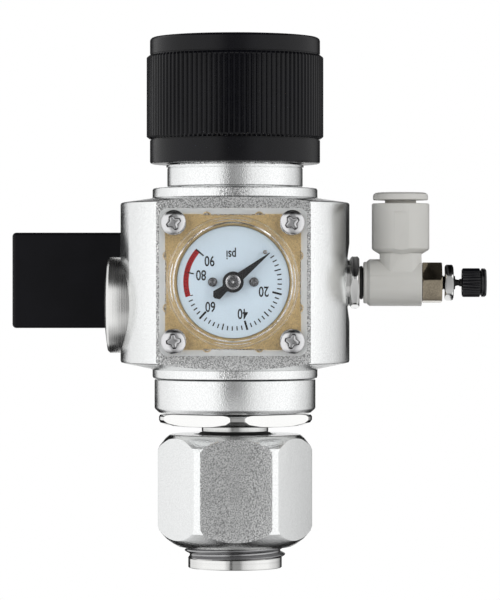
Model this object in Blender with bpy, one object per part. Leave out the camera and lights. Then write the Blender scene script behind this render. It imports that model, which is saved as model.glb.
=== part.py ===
"""Small carbon dioxide regulator for a beer keg or fermenter, with its outlet valve and solenoid.

+Z runs up the main axis from the cylinder to the knob, the gauge looks along -Y, and the tube
outlet stands at +X. Lengths below are in millimetres and are turned into metres when a mesh is made.
"""

import math

import bmesh
import bpy
from mathutils import Matrix

MM = 0.001
FINE, MEDIUM, SMALL = 40, 20, 12
GAP = 0.3

# Cylinder side
SHANK_R, THREAD_R, THREAD_ROOT, THREAD_PITCH = 9.77, 10.48, 9.45, 1.814
SHANK_TOP, ADAPTER_TOP, GAS_BORE_R = 2.2, 17.0, 1.5
NUT_LOW, NUT_HIGH, NUT_FLATS, NUT_CORNER_R = 4.3, 27.8, 28.6, 16.1
NUT_TURN = math.radians(2.0)
THREAD_TOP, ADAPTER_NECK_R = 10.4, 9.3
NIPPLE_R, NIPPLE_FLANGE_R, NIPPLE_NECK_R = 7.0, 9.6, 6.6
NIPPLE_LOW, NIPPLE_SHOULDER, SLEEVE_END = 19.4, 22.7, 28.4
GRIP_SIDES, GRIP_FLATS, GRIP_R, GRIP_LOW, GRIP_HIGH = 5, 28.08, 16.3, 29.6, 32.1
GRIP_TURN = math.radians(-123.0)
STEM_R, STEM_TOP = 8.0, 45.0

# Body
COLLAR_R, COLLAR_LOW, COLLAR_HIGH = 16.8, 32.35, 39.2
BODY_R, BODY_LOW, BODY_HIGH = 23.9, 39.4, 79.1
FLANGE_R, FLAT_Y = 17.22, 17.95
CHAMBER_R, CHAMBER_FLOOR = 12.0, 73.6
PASSAGE_R = 3.0

# Bonnet and knob
NECK_R, NECK_LOW, NECK_HIGH = 14.13, 79.4, 83.9
SLEEVE_R, SLEEVE_TOP, SPRING_BORE_R = 12.4, 99.0, 9.6
KNOB_LOW, KNOB_HIGH, KNOB_R, KNOB_RIB_R = 84.15, 110.5, 17.75, 18.45
KNOB_RIBS = 20
LEAD_PITCH = 1.5

# Gauge
GAUGE_Z = 59.5
POCKET_R, POCKET_Y = 13.2, 10.6
COVER_SIDE, COVER_CORNER, COVER_R = 30.0, 1.7, 14.0
COVER_BACK, COVER_STEP, COVER_FRONT = 20.4, 22.3, 24.3
BASE_SIDE, BASE_BACK, BASE_FRONT = 28.0, 18.15, 20.2
CUP_R, CUP_BORE_R = 12.9, 11.9
SCREW_OFFSET, SCREW_HEAD_R, SCREW_R = 12.0, 2.6, 1.1
DIAL_R, DIAL_SCREW_X = 11.3, 4.2
POINTER_REST = math.radians(38.5)
STOP_R, STOP_ANGLE = 8.9, math.radians(43.2)
MODULE, PINION_TEETH, SECTOR_TEETH, SECTOR_CUT = 0.2, 10, 70, 10

# Ports
OUTLET_Z, PLUG_Z, BACK_PORT_Z = 59.4, 54.7, 59.9
PLUG_R, PLUG_END = 10.0, 27.2
ELBOW_X, SWIVEL_R, NECK_PIPE_R, SOCKET_R = 34.55, 4.9, 4.3, 6.0
TUBE_BORE_R, SOCKET_BORE_R, SOCKET_TOP = 2.15, 4.9, 75.9
COIL_Y, COIL_Z, COIL_SIDE, COIL_LEFT, COIL_RIGHT = 29.75, 59.9, 20.5, 48.2, 18.4

TURNS = {
    "+Z": (0.0, 0.0, 0.0),
    "-Z": (math.pi, 0.0, 0.0),
    "+X": (0.0, math.pi / 2, 0.0),
    "-X": (0.0, -math.pi / 2, 0.0),
    "-Y": (math.pi / 2, 0.0, 0.0),
    "+Y": (-math.pi / 2, 0.0, 0.0),
}

NICKEL = ((0.62, 0.62, 0.60), 1.0, 0.32)
POLISHED = ((0.72, 0.72, 0.71), 1.0, 0.14)
BRASS = ((0.62, 0.47, 0.22), 1.0, 0.30)
STEEL = ((0.55, 0.56, 0.57), 1.0, 0.25)
DARK_HEX = ((0.10, 0.09, 0.08), 0.9, 0.35)
BLACK = ((0.012, 0.012, 0.014), 0.0, 0.38)
RUBBER = ((0.015, 0.015, 0.015), 0.0, 0.75)
WHITE = ((0.66, 0.66, 0.62), 0.0, 0.35)
CLEAR = ((0.85, 0.88, 0.90), 0.0, 0.05)
DIAL = ((0.60, 0.70, 0.76), 0.0, 0.45)


def material(name, look):
    """One Principled material for one piece."""
    colour, metallic, roughness = look
    made = bpy.data.materials.new(name)
    made.use_nodes = True
    shader = made.node_tree.nodes["Principled BSDF"]
    shader.inputs["Base Color"].default_value = (*colour, 1.0)
    shader.inputs["Metallic"].default_value = metallic
    shader.inputs["Roughness"].default_value = roughness
    if look is CLEAR:
        shader.inputs["Transmission Weight"].default_value = 0.9
    return made


def place(name, shape, look, axis="+Z", at=(0.0, 0.0, 0.0)):
    """Turns a bmesh in millimetres into an object whose local Z points along axis."""
    bmesh.ops.recalc_face_normals(shape, faces=shape.faces)
    shape.transform(Matrix.Scale(MM, 4))
    mesh = bpy.data.meshes.new(name)
    shape.to_mesh(mesh)
    shape.free()
    mesh.shade_smooth()
    mesh.set_sharp_from_angle(angle=math.radians(35))
    made = bpy.data.objects.new(name, mesh)
    made.rotation_euler = TURNS[axis]
    made.location = [value * MM for value in at]
    bpy.context.scene.collection.objects.link(made)
    if look is None:
        made.hide_render = True
        made.display_type = "WIRE"
    else:
        mesh.materials.append(material(name, look))
    return made


def combine(target, other, operation):
    modifier = target.modifiers.new(f"{operation} {other.name}", "BOOLEAN")
    modifier.operation = operation
    modifier.solver = "EXACT"
    modifier.object = other


def cut(target, shape, axis="+Z", at=(0.0, 0.0, 0.0)):
    """Takes a shape away from the target, with a hidden cutter."""
    count = len(target.modifiers) + 1
    combine(target, place(f"cut_{target.name}_{count}", shape, None, axis, at), "DIFFERENCE")


def join(target, shape, axis="+Z", at=(0.0, 0.0, 0.0)):
    count = len(target.modifiers) + 1
    combine(target, place(f"add_{target.name}_{count}", shape, None, axis, at), "UNION")


def revolve(section, steps=MEDIUM, radius=None):
    """A closed (r, z) section turned about Z. radius(index, step, r) may vary it round the turn."""
    shape = bmesh.new()
    rings = []
    for index, (r, z) in enumerate(section):
        ring = []
        for step in range(steps if r > 0 else 1):
            angle = 2 * math.pi * step / steps
            far = radius(index, step, r) if radius else r
            ring.append(shape.verts.new((far * math.cos(angle), far * math.sin(angle), z)))
        rings.append(ring)
    for low, high in zip(rings, rings[1:] + rings[:1]):
        if len(low) == 1 and len(high) == 1:
            continue
        for step in range(steps):
            after = (step + 1) % steps
            if len(low) == 1:
                corners = (low[0], high[step], high[after])
            elif len(high) == 1:
                corners = (low[step], low[after], high[0])
            else:
                corners = (low[step], low[after], high[after], high[step])
            shape.faces.new(corners)
    return shape


def tube(inner, outer, low, high, steps=SMALL):
    return revolve([(inner, low), (outer, low), (outer, high), (inner, high)], steps)


def extrude(outline, low, high):
    """A flat outline of (x, y) points made into a prism along Z."""
    shape = bmesh.new()
    under = [shape.verts.new((x, y, low)) for x, y in outline]
    over = [shape.verts.new((x, y, high)) for x, y in outline]
    shape.faces.new(under[::-1])
    shape.faces.new(over)
    for index in range(len(outline)):
        after = (index + 1) % len(outline)
        shape.faces.new((under[index], under[after], over[after], over[index]))
    return shape


def rod(r, low, high, steps=SMALL):
    angles = [2 * math.pi * step / steps for step in range(steps)]
    return extrude([(r * math.cos(angle), r * math.sin(angle)) for angle in angles], low, high)


def rounded_polygon(corners, corner_r, steps=4):
    """Outline whose corners are arcs of corner_r; corners run anticlockwise."""
    outline = []
    for index, (x, y) in enumerate(corners):
        before, after = corners[index - 1], corners[(index + 1) % len(corners)]
        back = math.atan2(before[1] - y, before[0] - x)
        ahead = math.atan2(after[1] - y, after[0] - x)
        half = ((back - ahead) % (2 * math.pi)) / 2
        middle = ahead + half
        reach = corner_r / math.sin(half)
        centre = (x + reach * math.cos(middle), y + reach * math.sin(middle))
        sweep = math.pi / 2 - half
        for step in range(steps + 1):
            angle = middle + math.pi - sweep + 2 * sweep * step / steps
            outline.append(
                (centre[0] + corner_r * math.cos(angle), centre[1] + corner_r * math.sin(angle))
            )
    return outline


def polygon(count, flats, turn=0.0):
    reach = flats / 2 / math.cos(math.pi / count)
    angles = [turn + 2 * math.pi * (index + 0.5) / count for index in range(count)]
    return [(reach * math.cos(angle), reach * math.sin(angle)) for angle in angles]


def rectangle(width, height, at=(0.0, 0.0)):
    x, y = width / 2, height / 2
    return [(at[0] + a * x, at[1] + b * y) for a, b in ((-1, -1), (1, -1), (1, 1), (-1, 1))]


def helix_rod(root, crest, pitch, low, high, hand=1, steps=24):
    """A solid rod with a screw thread: hand is 1 for right hand and -1 for left hand."""
    shape = bmesh.new()
    levels = [(0.0, 0.0), (0.30, 0.0), (0.55, 1.0), (0.75, 1.0)]
    count = int((high - low) / pitch) + 3
    rows = [(turn + part) * pitch for turn in range(-1, count) for part, _ in levels]
    rises = [rise for _ in range(-1, count) for _, rise in levels]
    grid = []
    for step in range(steps + 1):
        column = []
        for row, rise in zip(rows, rises):
            z = low + row + pitch * step / steps
            edge = min(max(min(z - low, high - z) / (0.5 * pitch), 0.0), 1.0)
            column.append((root + (crest - root) * rise * edge, min(max(z, low), high)))
        grid.append(column)
    made = []
    for step, column in enumerate(grid):
        angle = hand * 2 * math.pi * step / steps
        made.append(
            [shape.verts.new((r * math.cos(angle), r * math.sin(angle), z)) for r, z in column]
        )
    for left, right in zip(made, made[1:]):
        for row in range(len(left) - 1):
            shape.faces.new((left[row], right[row], right[row + 1], left[row + 1]))
    bmesh.ops.remove_doubles(shape, verts=shape.verts, dist=1e-4)
    edges = [edge for edge in shape.edges if edge.is_boundary]
    bmesh.ops.holes_fill(shape, edges=edges, sides=0)
    return shape


def coil_spring(radius, wire, low, high, turns, steps=9, sides=4):
    """A round-wire compression spring standing on Z."""
    shape = bmesh.new()
    count = int(turns * steps)
    rings = []
    for index in range(count + 1):
        part = index / count
        angle = 2 * math.pi * turns * part
        z = low + wire + (high - low - 2 * wire) * part
        ring = []
        for side in range(sides):
            around = 2 * math.pi * side / sides
            r = radius + wire * math.cos(around)
            ring.append(
                shape.verts.new(
                    (r * math.cos(angle), r * math.sin(angle), z + wire * math.sin(around))
                )
            )
        rings.append(ring)
    for ring, after in zip(rings, rings[1:]):
        for side in range(sides):
            ahead = (side + 1) % sides
            shape.faces.new((ring[side], ring[ahead], after[ahead], after[side]))
    shape.faces.new(rings[0])
    shape.faces.new(rings[-1][::-1])
    return shape


def toothed(teeth, first, last, arms=None):
    """Gear outline from tooth number first to last; each tooth is centred on its whole number."""
    pitch_r, step = MODULE * teeth / 2, 2 * math.pi / teeth
    tip, root = pitch_r + 0.85 * MODULE, pitch_r - 1.15 * MODULE
    outline = []
    for tooth in range(first, last + 1):
        for part, r in ((-0.27, root), (-0.09, tip), (0.09, tip), (0.27, root)):
            angle = (tooth + part) * step
            outline.append((r * math.sin(angle), r * math.cos(angle)))
    return outline[::-1] + (arms or [])


def pan_head_screw(name, look, axis, at, head_r, head_h, shank_r, length):
    """Cross-recess screw; its head stands on local z = 0 and its shank goes down from there."""
    section = [
        (0, -length),
        (shank_r, -length),
        (shank_r, 0),
        (head_r, 0),
        (head_r, head_h * 0.5),
        (head_r * 0.8, head_h),
        (0, head_h),
    ]
    screw = place(name, revolve(section, SMALL), look, axis, at)
    arm, width = head_r * 0.62, head_r * 0.13
    cross = [(width, arm), (-width, arm), (-width, width), (-arm, width), (-arm, -width)]
    cross += [(-width, -width), (-width, -arm), (width, -arm), (width, -width), (arm, -width)]
    cross += [(arm, width), (width, width)]
    cut(screw, extrude(cross, head_h * 0.45, head_h + 1), axis, at)
    return screw


def make_cylinder_side():
    """The valve outlet of the gas cylinder, and the nut, nipple and seals that clamp to it."""
    adapter = place(
        "cylinder_adapter",
        helix_rod(THREAD_ROOT, THREAD_R, THREAD_PITCH, SHANK_TOP - 0.6, THREAD_TOP + 0.6, 1, 20),
        STEEL,
    )
    shank = [(0, 0), (SHANK_R, 0), (SHANK_R, SHANK_TOP), (ADAPTER_NECK_R, 2.6), (0, 2.6)]
    join(adapter, revolve(shank, MEDIUM))
    top = [(0, THREAD_TOP), (ADAPTER_NECK_R, THREAD_TOP), (ADAPTER_NECK_R, 16.4)]
    top += [(8.7, ADAPTER_TOP), (0, ADAPTER_TOP)]
    join(adapter, revolve(top, MEDIUM))
    cut(adapter, rod(GAS_BORE_R, -1, 18))

    place("inlet_washer", tube(2.9, 6.6, 17.2, 19.2), WHITE)

    bore = 10.8
    section = [
        (bore + 0.7, NUT_LOW),
        (13.3, NUT_LOW),
        (14.8, 4.9),
        (15.7, 6.2),
        (NUT_CORNER_R, 8.2),
        (NUT_CORNER_R, 24.6),
        (15.7, 25.9),
        (14.8, 27.1),
        (13.4, NUT_HIGH),
        (8.6, NUT_HIGH),
        (8.6, 26.8),
        (NIPPLE_R + GAP, 26.8),
        (NIPPLE_R + GAP, 23.0),
        (bore, 23.0),
        (bore, 5.0),
    ]
    nut = place("inlet_nut", revolve(section, FINE), NICKEL)
    outline = rounded_polygon(polygon(6, NUT_FLATS, NUT_TURN - math.pi / 2), 1.8)
    hexagon = place("add_inlet_nut_hexagon", extrude(outline, 0, 32), None)
    combine(nut, hexagon, "INTERSECT")

    place(
        "nipple_ring",
        revolve([(7.08, 27.05), (8.3, 27.05), (8.1, 27.5), (7.6, 28.1), (7.08, 28.15)], FINE),
        RUBBER,
    )

    sleeve = [
        (NIPPLE_NECK_R + 0.08, 23.0),
        (NIPPLE_R - 0.05, 23.0),
        (NIPPLE_R - 0.05, SLEEVE_END),
        (NIPPLE_NECK_R + 0.08, SLEEVE_END),
    ]
    place("nipple_sleeve", revolve(sleeve, FINE), RUBBER)

    section = [
        (2.6, NIPPLE_LOW),
        (NIPPLE_FLANGE_R - 0.5, NIPPLE_LOW),
        (NIPPLE_FLANGE_R, NIPPLE_LOW + 0.5),
        (NIPPLE_FLANGE_R, NIPPLE_SHOULDER),
        (NIPPLE_NECK_R, NIPPLE_SHOULDER),
        (NIPPLE_NECK_R, SLEEVE_END + 0.05),
        (NIPPLE_R - 0.05, SLEEVE_END + 0.05),
        (NIPPLE_R - 0.05, GRIP_LOW),
        (14.2, GRIP_LOW),
        (GRIP_R, 30.4),
        (GRIP_R, GRIP_HIGH),
        (STEM_R, GRIP_HIGH),
        (STEM_R, STEM_TOP),
        (4.2, STEM_TOP),
        (4.2, 36.0),
        (1.2, 36.0),
        (1.2, 30.0),
        (2.6, 30.0),
    ]
    stem = place("inlet_stem", revolve(section, FINE), POLISHED)
    sides = polygon(GRIP_SIDES, GRIP_FLATS, GRIP_TURN)
    combine(stem, place("add_inlet_stem_sides", extrude(sides, 10, 50), None), "INTERSECT")
    place("sintered_filter", revolve([(0, 22), (2.3, 22), (2.3, 28.6), (1.9, 29.2), (0, 29.2)]), BRASS)


def make_body():
    """Body block with its flat, gauge pocket and ports, and the collar below it."""
    section = [
        (0, BODY_LOW),
        (16.7, BODY_LOW),
        (FLANGE_R, 39.9),
        (FLANGE_R, 41.4),
        (23.3, 42.55),
        (BODY_R, 43.1),
        (BODY_R, 75.6),
        (23.4, 76.05),
        (FLANGE_R, 77.1),
        (FLANGE_R, 78.6),
        (16.7, BODY_HIGH),
        (0, BODY_HIGH),
    ]
    body = place("body_block", revolve(section, FINE), NICKEL)
    bore = [
        (0, 38),
        (STEM_R + GAP, 38),
        (STEM_R + GAP, 47.0),
        (5.7, 47.0),
        (5.7, 49.2),
        (PASSAGE_R, 49.2),
        (PASSAGE_R, CHAMBER_FLOOR),
        (CHAMBER_R, CHAMBER_FLOOR),
        (CHAMBER_R, 81),
        (0, 81),
    ]
    cut(body, revolve(bore, MEDIUM))
    cut(body, extrude(rectangle(60, 38, (0, BACK_PORT_Z)), FLAT_Y, 30), "-Y", (0, 0, 0))
    cut(body, rod(POCKET_R, POCKET_Y, 30, 32), "-Y", (0, 0, GAUGE_Z))
    port = [(0, 1.5), (1.3, 1.5), (1.3, 8.0), (2.2, 8.0), (2.2, 12), (0, 12)]
    cut(body, revolve(port, 16), "-Y", (0, 0, GAUGE_Z))
    for x in (-SCREW_OFFSET, SCREW_OFFSET):
        for z in (-SCREW_OFFSET, SCREW_OFFSET):
            cut(body, rod(SCREW_R + 0.2, 12.2, 20, 12), "-Y", (x, 0, GAUGE_Z + z))
    outlet = [(0, 1.5), (1.6, 1.5), (1.6, 14.2), (4.3, 14.2), (4.3, 22.6), (8.9, 24.4), (8.9, 26)]
    cut(body, revolve(outlet + [(0, 26)]), "+X", (0, 0, OUTLET_Z))
    spotface = [
        (0, 1.5),
        (1.6, 1.5),
        (1.6, 12.4),
        (5.1, 12.4),
        (5.1, 20.2),
        (PLUG_R + GAP, 20.2),
        (PLUG_R + GAP, 26),
        (0, 26),
    ]
    cut(body, revolve(spotface), "-X", (0, 0, PLUG_Z))
    back = [(0, 1.5), (1.4, 1.5), (1.4, 15.4), (5.1, 15.4), (5.1, 26), (0, 26)]
    cut(body, revolve(back), "+Y", (0, 0, BACK_PORT_Z))

    section = [
        (STEM_R + GAP, COLLAR_LOW),
        (16.0, COLLAR_LOW),
        (COLLAR_R, 33.2),
        (COLLAR_R, COLLAR_HIGH),
        (STEM_R + GAP, COLLAR_HIGH),
    ]
    place("inlet_collar", revolve(section, FINE), NICKEL)
    place("inlet_seal_ring", tube(5.9, 7.9, 45.2, 46.8), RUBBER)


def make_valve_train():
    """Seat, poppet, piston and the adjusting spring above it."""
    place(
        "valve_seat",
        revolve([(1.3, 47.2), (5.4, 47.2), (5.4, 49.0), (1.3, 49.0)]),
        WHITE,
    )
    place(
        "poppet",
        revolve([(0, 40.6), (1.5, 40.6), (1.5, 41.3), (2.9, 41.3), (2.9, 46.2), (2.2, 47.0), (0, 47.0)]),
        BRASS,
    )
    place("poppet_spring", coil_spring(2.2, 0.3, 36.1, 41.2, 4), STEEL)
    piston = [
        (0, 47.1),
        (0.8, 47.1),
        (0.8, 50.0),
        (2.3, 51.0),
        (2.3, 74.3),
        (11.7, 74.3),
        (11.7, 74.9),
        (10.6, 74.9),
        (10.6, 76.0),
        (11.7, 76.0),
        (11.7, 76.6),
        (5.4, 76.6),
        (5.0, 77.4),
        (0, 77.4),
    ]
    place("piston", revolve(piston, MEDIUM), BRASS)
    place("piston_ring", tube(10.68, 11.85, 75.0, 75.9, MEDIUM), RUBBER)
    place("main_spring", coil_spring(7.2, 0.75, 76.7, 87.9, 3.5, 14, 6), STEEL)
    bonnet = [
        (SPRING_BORE_R, 77.4),
        (CHAMBER_R - GAP, 77.4),
        (CHAMBER_R - GAP, NECK_LOW),
        (NECK_R, NECK_LOW),
        (NECK_R, 83.2),
        (NECK_R + 0.2, 83.35),
        (NECK_R + 0.2, NECK_HIGH),
        (SLEEVE_R, NECK_HIGH),
        (SLEEVE_R, SLEEVE_TOP),
        (3.4, SLEEVE_TOP),
        (3.4, 96.2),
        (SPRING_BORE_R, 96.2),
    ]
    place("bonnet", revolve(bonnet, 28), NICKEL)
    button = [(3.25, 88.0), (8.8, 88.0), (8.8, 89.6), (5.6, 90.4), (5.6, 92.0), (3.25, 92.0)]
    place("spring_button", revolve(button, MEDIUM), BRASS)

    screw = place(
        "adjusting_screw", helix_rod(2.45, 3.0, LEAD_PITCH, 84.0, 94.8, -1, 10), STEEL
    )
    upper = [
        (0, 94.5),
        (2.3, 94.5),
        (2.3, 96.1),
        (3.0, 96.1),
        (3.0, 100.1),
        (6.0, 100.1),
        (6.0, 101.3),
        (3.0, 101.3),
        (3.0, 104.6),
        (0, 104.6),
    ]
    join(screw, revolve(upper, SMALL))
    cut(screw, rod(1.55, 98.0, 106, 16))
    place("thrust_washer", tube(3.3, 6.4, 99.2, 99.9), BRASS)
    place("screw_clip", tube(2.5, 5.0, 95.15, 95.85), STEEL)


def make_knob():
    """Ribbed pressure knob, the screw that holds it and the cap over that screw."""
    outer = [
        (KNOB_R - 0.4, KNOB_LOW),
        (KNOB_R, 84.6),
        (KNOB_R, 89.3),
        (KNOB_RIB_R, 89.8),
        (KNOB_RIB_R, 106.3),
        (KNOB_R, 106.8),
        (KNOB_R, 109.8),
        (KNOB_R - 0.2, 110.3),
        (KNOB_R - 0.7, KNOB_HIGH),
    ]
    inner = [
        (9.3, KNOB_HIGH),
        (9.3, 109.3),
        (3.3, 109.3),
        (3.3, 106.2),
        (1.6, 106.2),
        (1.6, 105.0),
        (3.2, 105.0),
        (3.2, 102.0),
        (13.2, 102.0),
        (13.2, KNOB_LOW),
    ]

    def ribbed(index, step, r):
        groove = index in (3, 4) and step % 2
        return r - 0.35 if groove else r

    place("adjustment_knob", revolve(outer + inner, 2 * KNOB_RIBS, ribbed), BLACK)
    cap = [(0, 109.45), (9.0, 109.45), (9.0, 110.2), (8.7, 110.45), (0, 110.45)]
    place("knob_cap", revolve(cap), BLACK)
    pan_head_screw("knob_screw", STEEL, "+Z", (0, 0, 106.4), 2.8, 1.9, 1.3, 7.6)


def make_gauge():
    """Square-cased pressure gauge let into the flat of the body."""
    at = (0, 0, GAUGE_Z)
    square = rounded_polygon(rectangle(BASE_SIDE, BASE_SIDE), 1.2)
    base = place("gauge_base", extrude(square, BASE_BACK, BASE_FRONT), BRASS, "-Y", at)
    join(base, rod(CUP_R, 10.9, 19.0, 32), "-Y", at)
    cut(base, rod(CUP_BORE_R, 11.9, 22, 32), "-Y", at)
    cut(base, rod(2.1, 9, 13), "-Y", at)

    square = rounded_polygon(rectangle(COVER_SIDE, COVER_SIDE), COVER_CORNER)
    cover = place("gauge_cover", extrude(square, COVER_BACK, COVER_STEP), CLEAR, "-Y", at)
    raised = [(0, 22.0), (COVER_R, 22.0), (COVER_R, 23.9), (13.6, COVER_FRONT), (0, COVER_FRONT)]
    join(cover, revolve(raised, FINE), "-Y", at)
    cut(cover, rod(12.4, 19, 22.8, 32), "-Y", at)

    number = 0
    for x in (-SCREW_OFFSET, SCREW_OFFSET):
        for z in (-SCREW_OFFSET, SCREW_OFFSET):
            number += 1
            spot = (x, 0, GAUGE_Z + z)
            cut(base, rod(SCREW_R + 0.25, 17, 21, 12), "-Y", spot)
            cut(cover, rod(SCREW_R + 0.25, 19, 24, 12), "-Y", spot)
            head = (x, -COVER_STEP - 0.1, GAUGE_Z + z)
            name = f"cover_screw_{number}"
            pan_head_screw(name, STEEL, "-Y", head, SCREW_HEAD_R, 1.6, SCREW_R, 9.8)

    socket = place("gauge_socket", rod(3.2, 12.1, 14.5), BRASS, "-Y", at)
    join(socket, rod(1.9, 8.4, 13, 16), "-Y", at)
    join(socket, extrude(rectangle(3.0, 8.6, (0, -6.6)), 12.3, 14.4), "-Y", at)
    cut(socket, rod(0.6, 7, 13.6, 12), "-Y", at)

    path, section = [], ((-0.35, 0), (-0.25, -0.95), (0.25, -0.95), (0.35, 0), (0.25, 0.95), (-0.25, 0.95))
    for step in range(20):
        angle = math.radians(-78 + 14.7 * step)
        path.append((9.6 * math.cos(angle), 9.6 * math.sin(angle)))
    bourdon = bmesh.new()
    rings = []
    for x, y in path:
        away = math.atan2(y, x)
        ring = [
            bourdon.verts.new((x + out * math.cos(away), y + out * math.sin(away), 13.35 + up))
            for out, up in section
        ]
        rings.append(ring)
    for ring, after in zip(rings, rings[1:]):
        for side in range(len(section)):
            ahead = (side + 1) % len(section)
            bourdon.faces.new((ring[side], ring[ahead], after[ahead], after[side]))
    bourdon.faces.new(rings[0])
    bourdon.faces.new(rings[-1][::-1])
    place("bourdon_tube", bourdon, BRASS, "-Y", at)

    frame = place(
        "movement_frame", extrude(rectangle(12.6, 13.0, (0, -3.0)), 17.7, 18.25), BRASS, "-Y", at
    )
    for x in (-5.5, 5.5):
        join(frame, rod(0.6, 12.0, 18.0, 12), "-Y", (x, 0, GAUGE_Z + 3.0))
        cut(frame, rod(0.55, 17, 19, 12), "-Y", (math.copysign(DIAL_SCREW_X, x), 0, GAUGE_Z))
    pivot_z = -MODULE * (PINION_TEETH + SECTOR_TEETH) / 2
    join(frame, rod(0.45, 15.2, 18.0, 12), "-Y", (0, 0, GAUGE_Z + pivot_z))
    cut(frame, rod(0.7, 17, 19, 12), "-Y", at)

    dial = place("gauge_dial", rod(DIAL_R, 18.5, 18.9, FINE), DIAL, "-Y", at)
    cut(dial, rod(0.9, 18, 20, 12), "-Y", at)
    stop = (STOP_R * math.cos(STOP_ANGLE), 0, GAUGE_Z + STOP_R * math.sin(STOP_ANGLE))
    cut(dial, rod(0.42, 18, 20, 12), "-Y", stop)
    place("stop_pin", rod(0.35, 18.4, 20.9, 12), STEEL, "-Y", stop)
    for number, x in enumerate((-DIAL_SCREW_X, DIAL_SCREW_X), 1):
        cut(dial, rod(0.55, 18, 20, 12), "-Y", (x, 0, GAUGE_Z))
        head = (x, -19.0, GAUGE_Z)
        pan_head_screw(f"dial_screw_{number}", BRASS, "-Y", head, 0.95, 0.55, 0.4, 1.2)

    width = math.radians(9)
    outline = [(9.5, -0.10), (9.5, 0.10)]
    for step in range(13):
        angle = width + (math.pi - 2.3 * width) * step / 12
        outline.append((2.1 * math.cos(angle), 2.1 * math.sin(angle)))
    outline += [(-3.4, 0.45), (-4.9, 0.95), (-4.9, -0.95), (-3.4, -0.45)]
    for step in range(13):
        angle = math.pi + 1.3 * width + (math.pi - 2.3 * width) * step / 12
        outline.append((2.1 * math.cos(angle), 2.1 * math.sin(angle)))
    turn, lean = math.cos(POINTER_REST), math.sin(POINTER_REST)
    outline = [(x * turn - y * lean, x * lean + y * turn) for x, y in outline]
    pointer = place("pointer", extrude(outline, 20.35, 20.7), BLACK, "-Y", at)
    cut(pointer, rod(0.62, 20, 21, 12), "-Y", at)

    arbor = place(
        "pointer_arbor",
        revolve([(0, 15.0), (0.55, 15.0), (0.55, 20.8), (1.5, 20.8), (1.35, 21.4), (0, 21.5)], SMALL),
        STEEL,
        "-Y",
        at,
    )
    teeth = toothed(PINION_TEETH, 0, PINION_TEETH - 1)
    pinion = [(x, -y) for x, y in teeth[::-1]]
    join(arbor, extrude(pinion, 15.25, 16.25), "-Y", at)

    around = [math.radians(degrees) for degrees in range(-120, -251, -26)]
    hub = [(0.95 * math.sin(angle), 0.95 * math.cos(angle)) for angle in around]
    turn, lean = math.cos(math.pi / SECTOR_TEETH), math.sin(math.pi / SECTOR_TEETH)
    outline = [
        (x * turn + y * lean, y * turn - x * lean)
        for x, y in toothed(SECTOR_TEETH, -1, SECTOR_CUT - 2, hub)
    ]
    pivot = (0, 0, GAUGE_Z + pivot_z)
    sector = place("sector_gear", extrude(outline, 15.45, 16.05), BRASS, "-Y", pivot)
    cut(sector, rod(0.5, 15, 17, 12), "-Y", pivot)


def make_plug():
    """Plug of the second port, on the left of the body."""
    section = [
        (0, 13.0),
        (4.5, 13.0),
        (4.8, 13.4),
        (4.8, 20.5),
        (PLUG_R, 20.5),
        (PLUG_R, 25.9),
        (9.6, 26.4),
        (7.9, 26.8),
        (4.2, PLUG_END),
        (0, PLUG_END),
    ]
    plug = place("port_plug", revolve(section, 32), NICKEL, "-X", (0, 0, PLUG_Z))
    cut(plug, extrude(polygon(6, 5.0), 23.6, 30), "-X", (0, 0, PLUG_Z))


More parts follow.
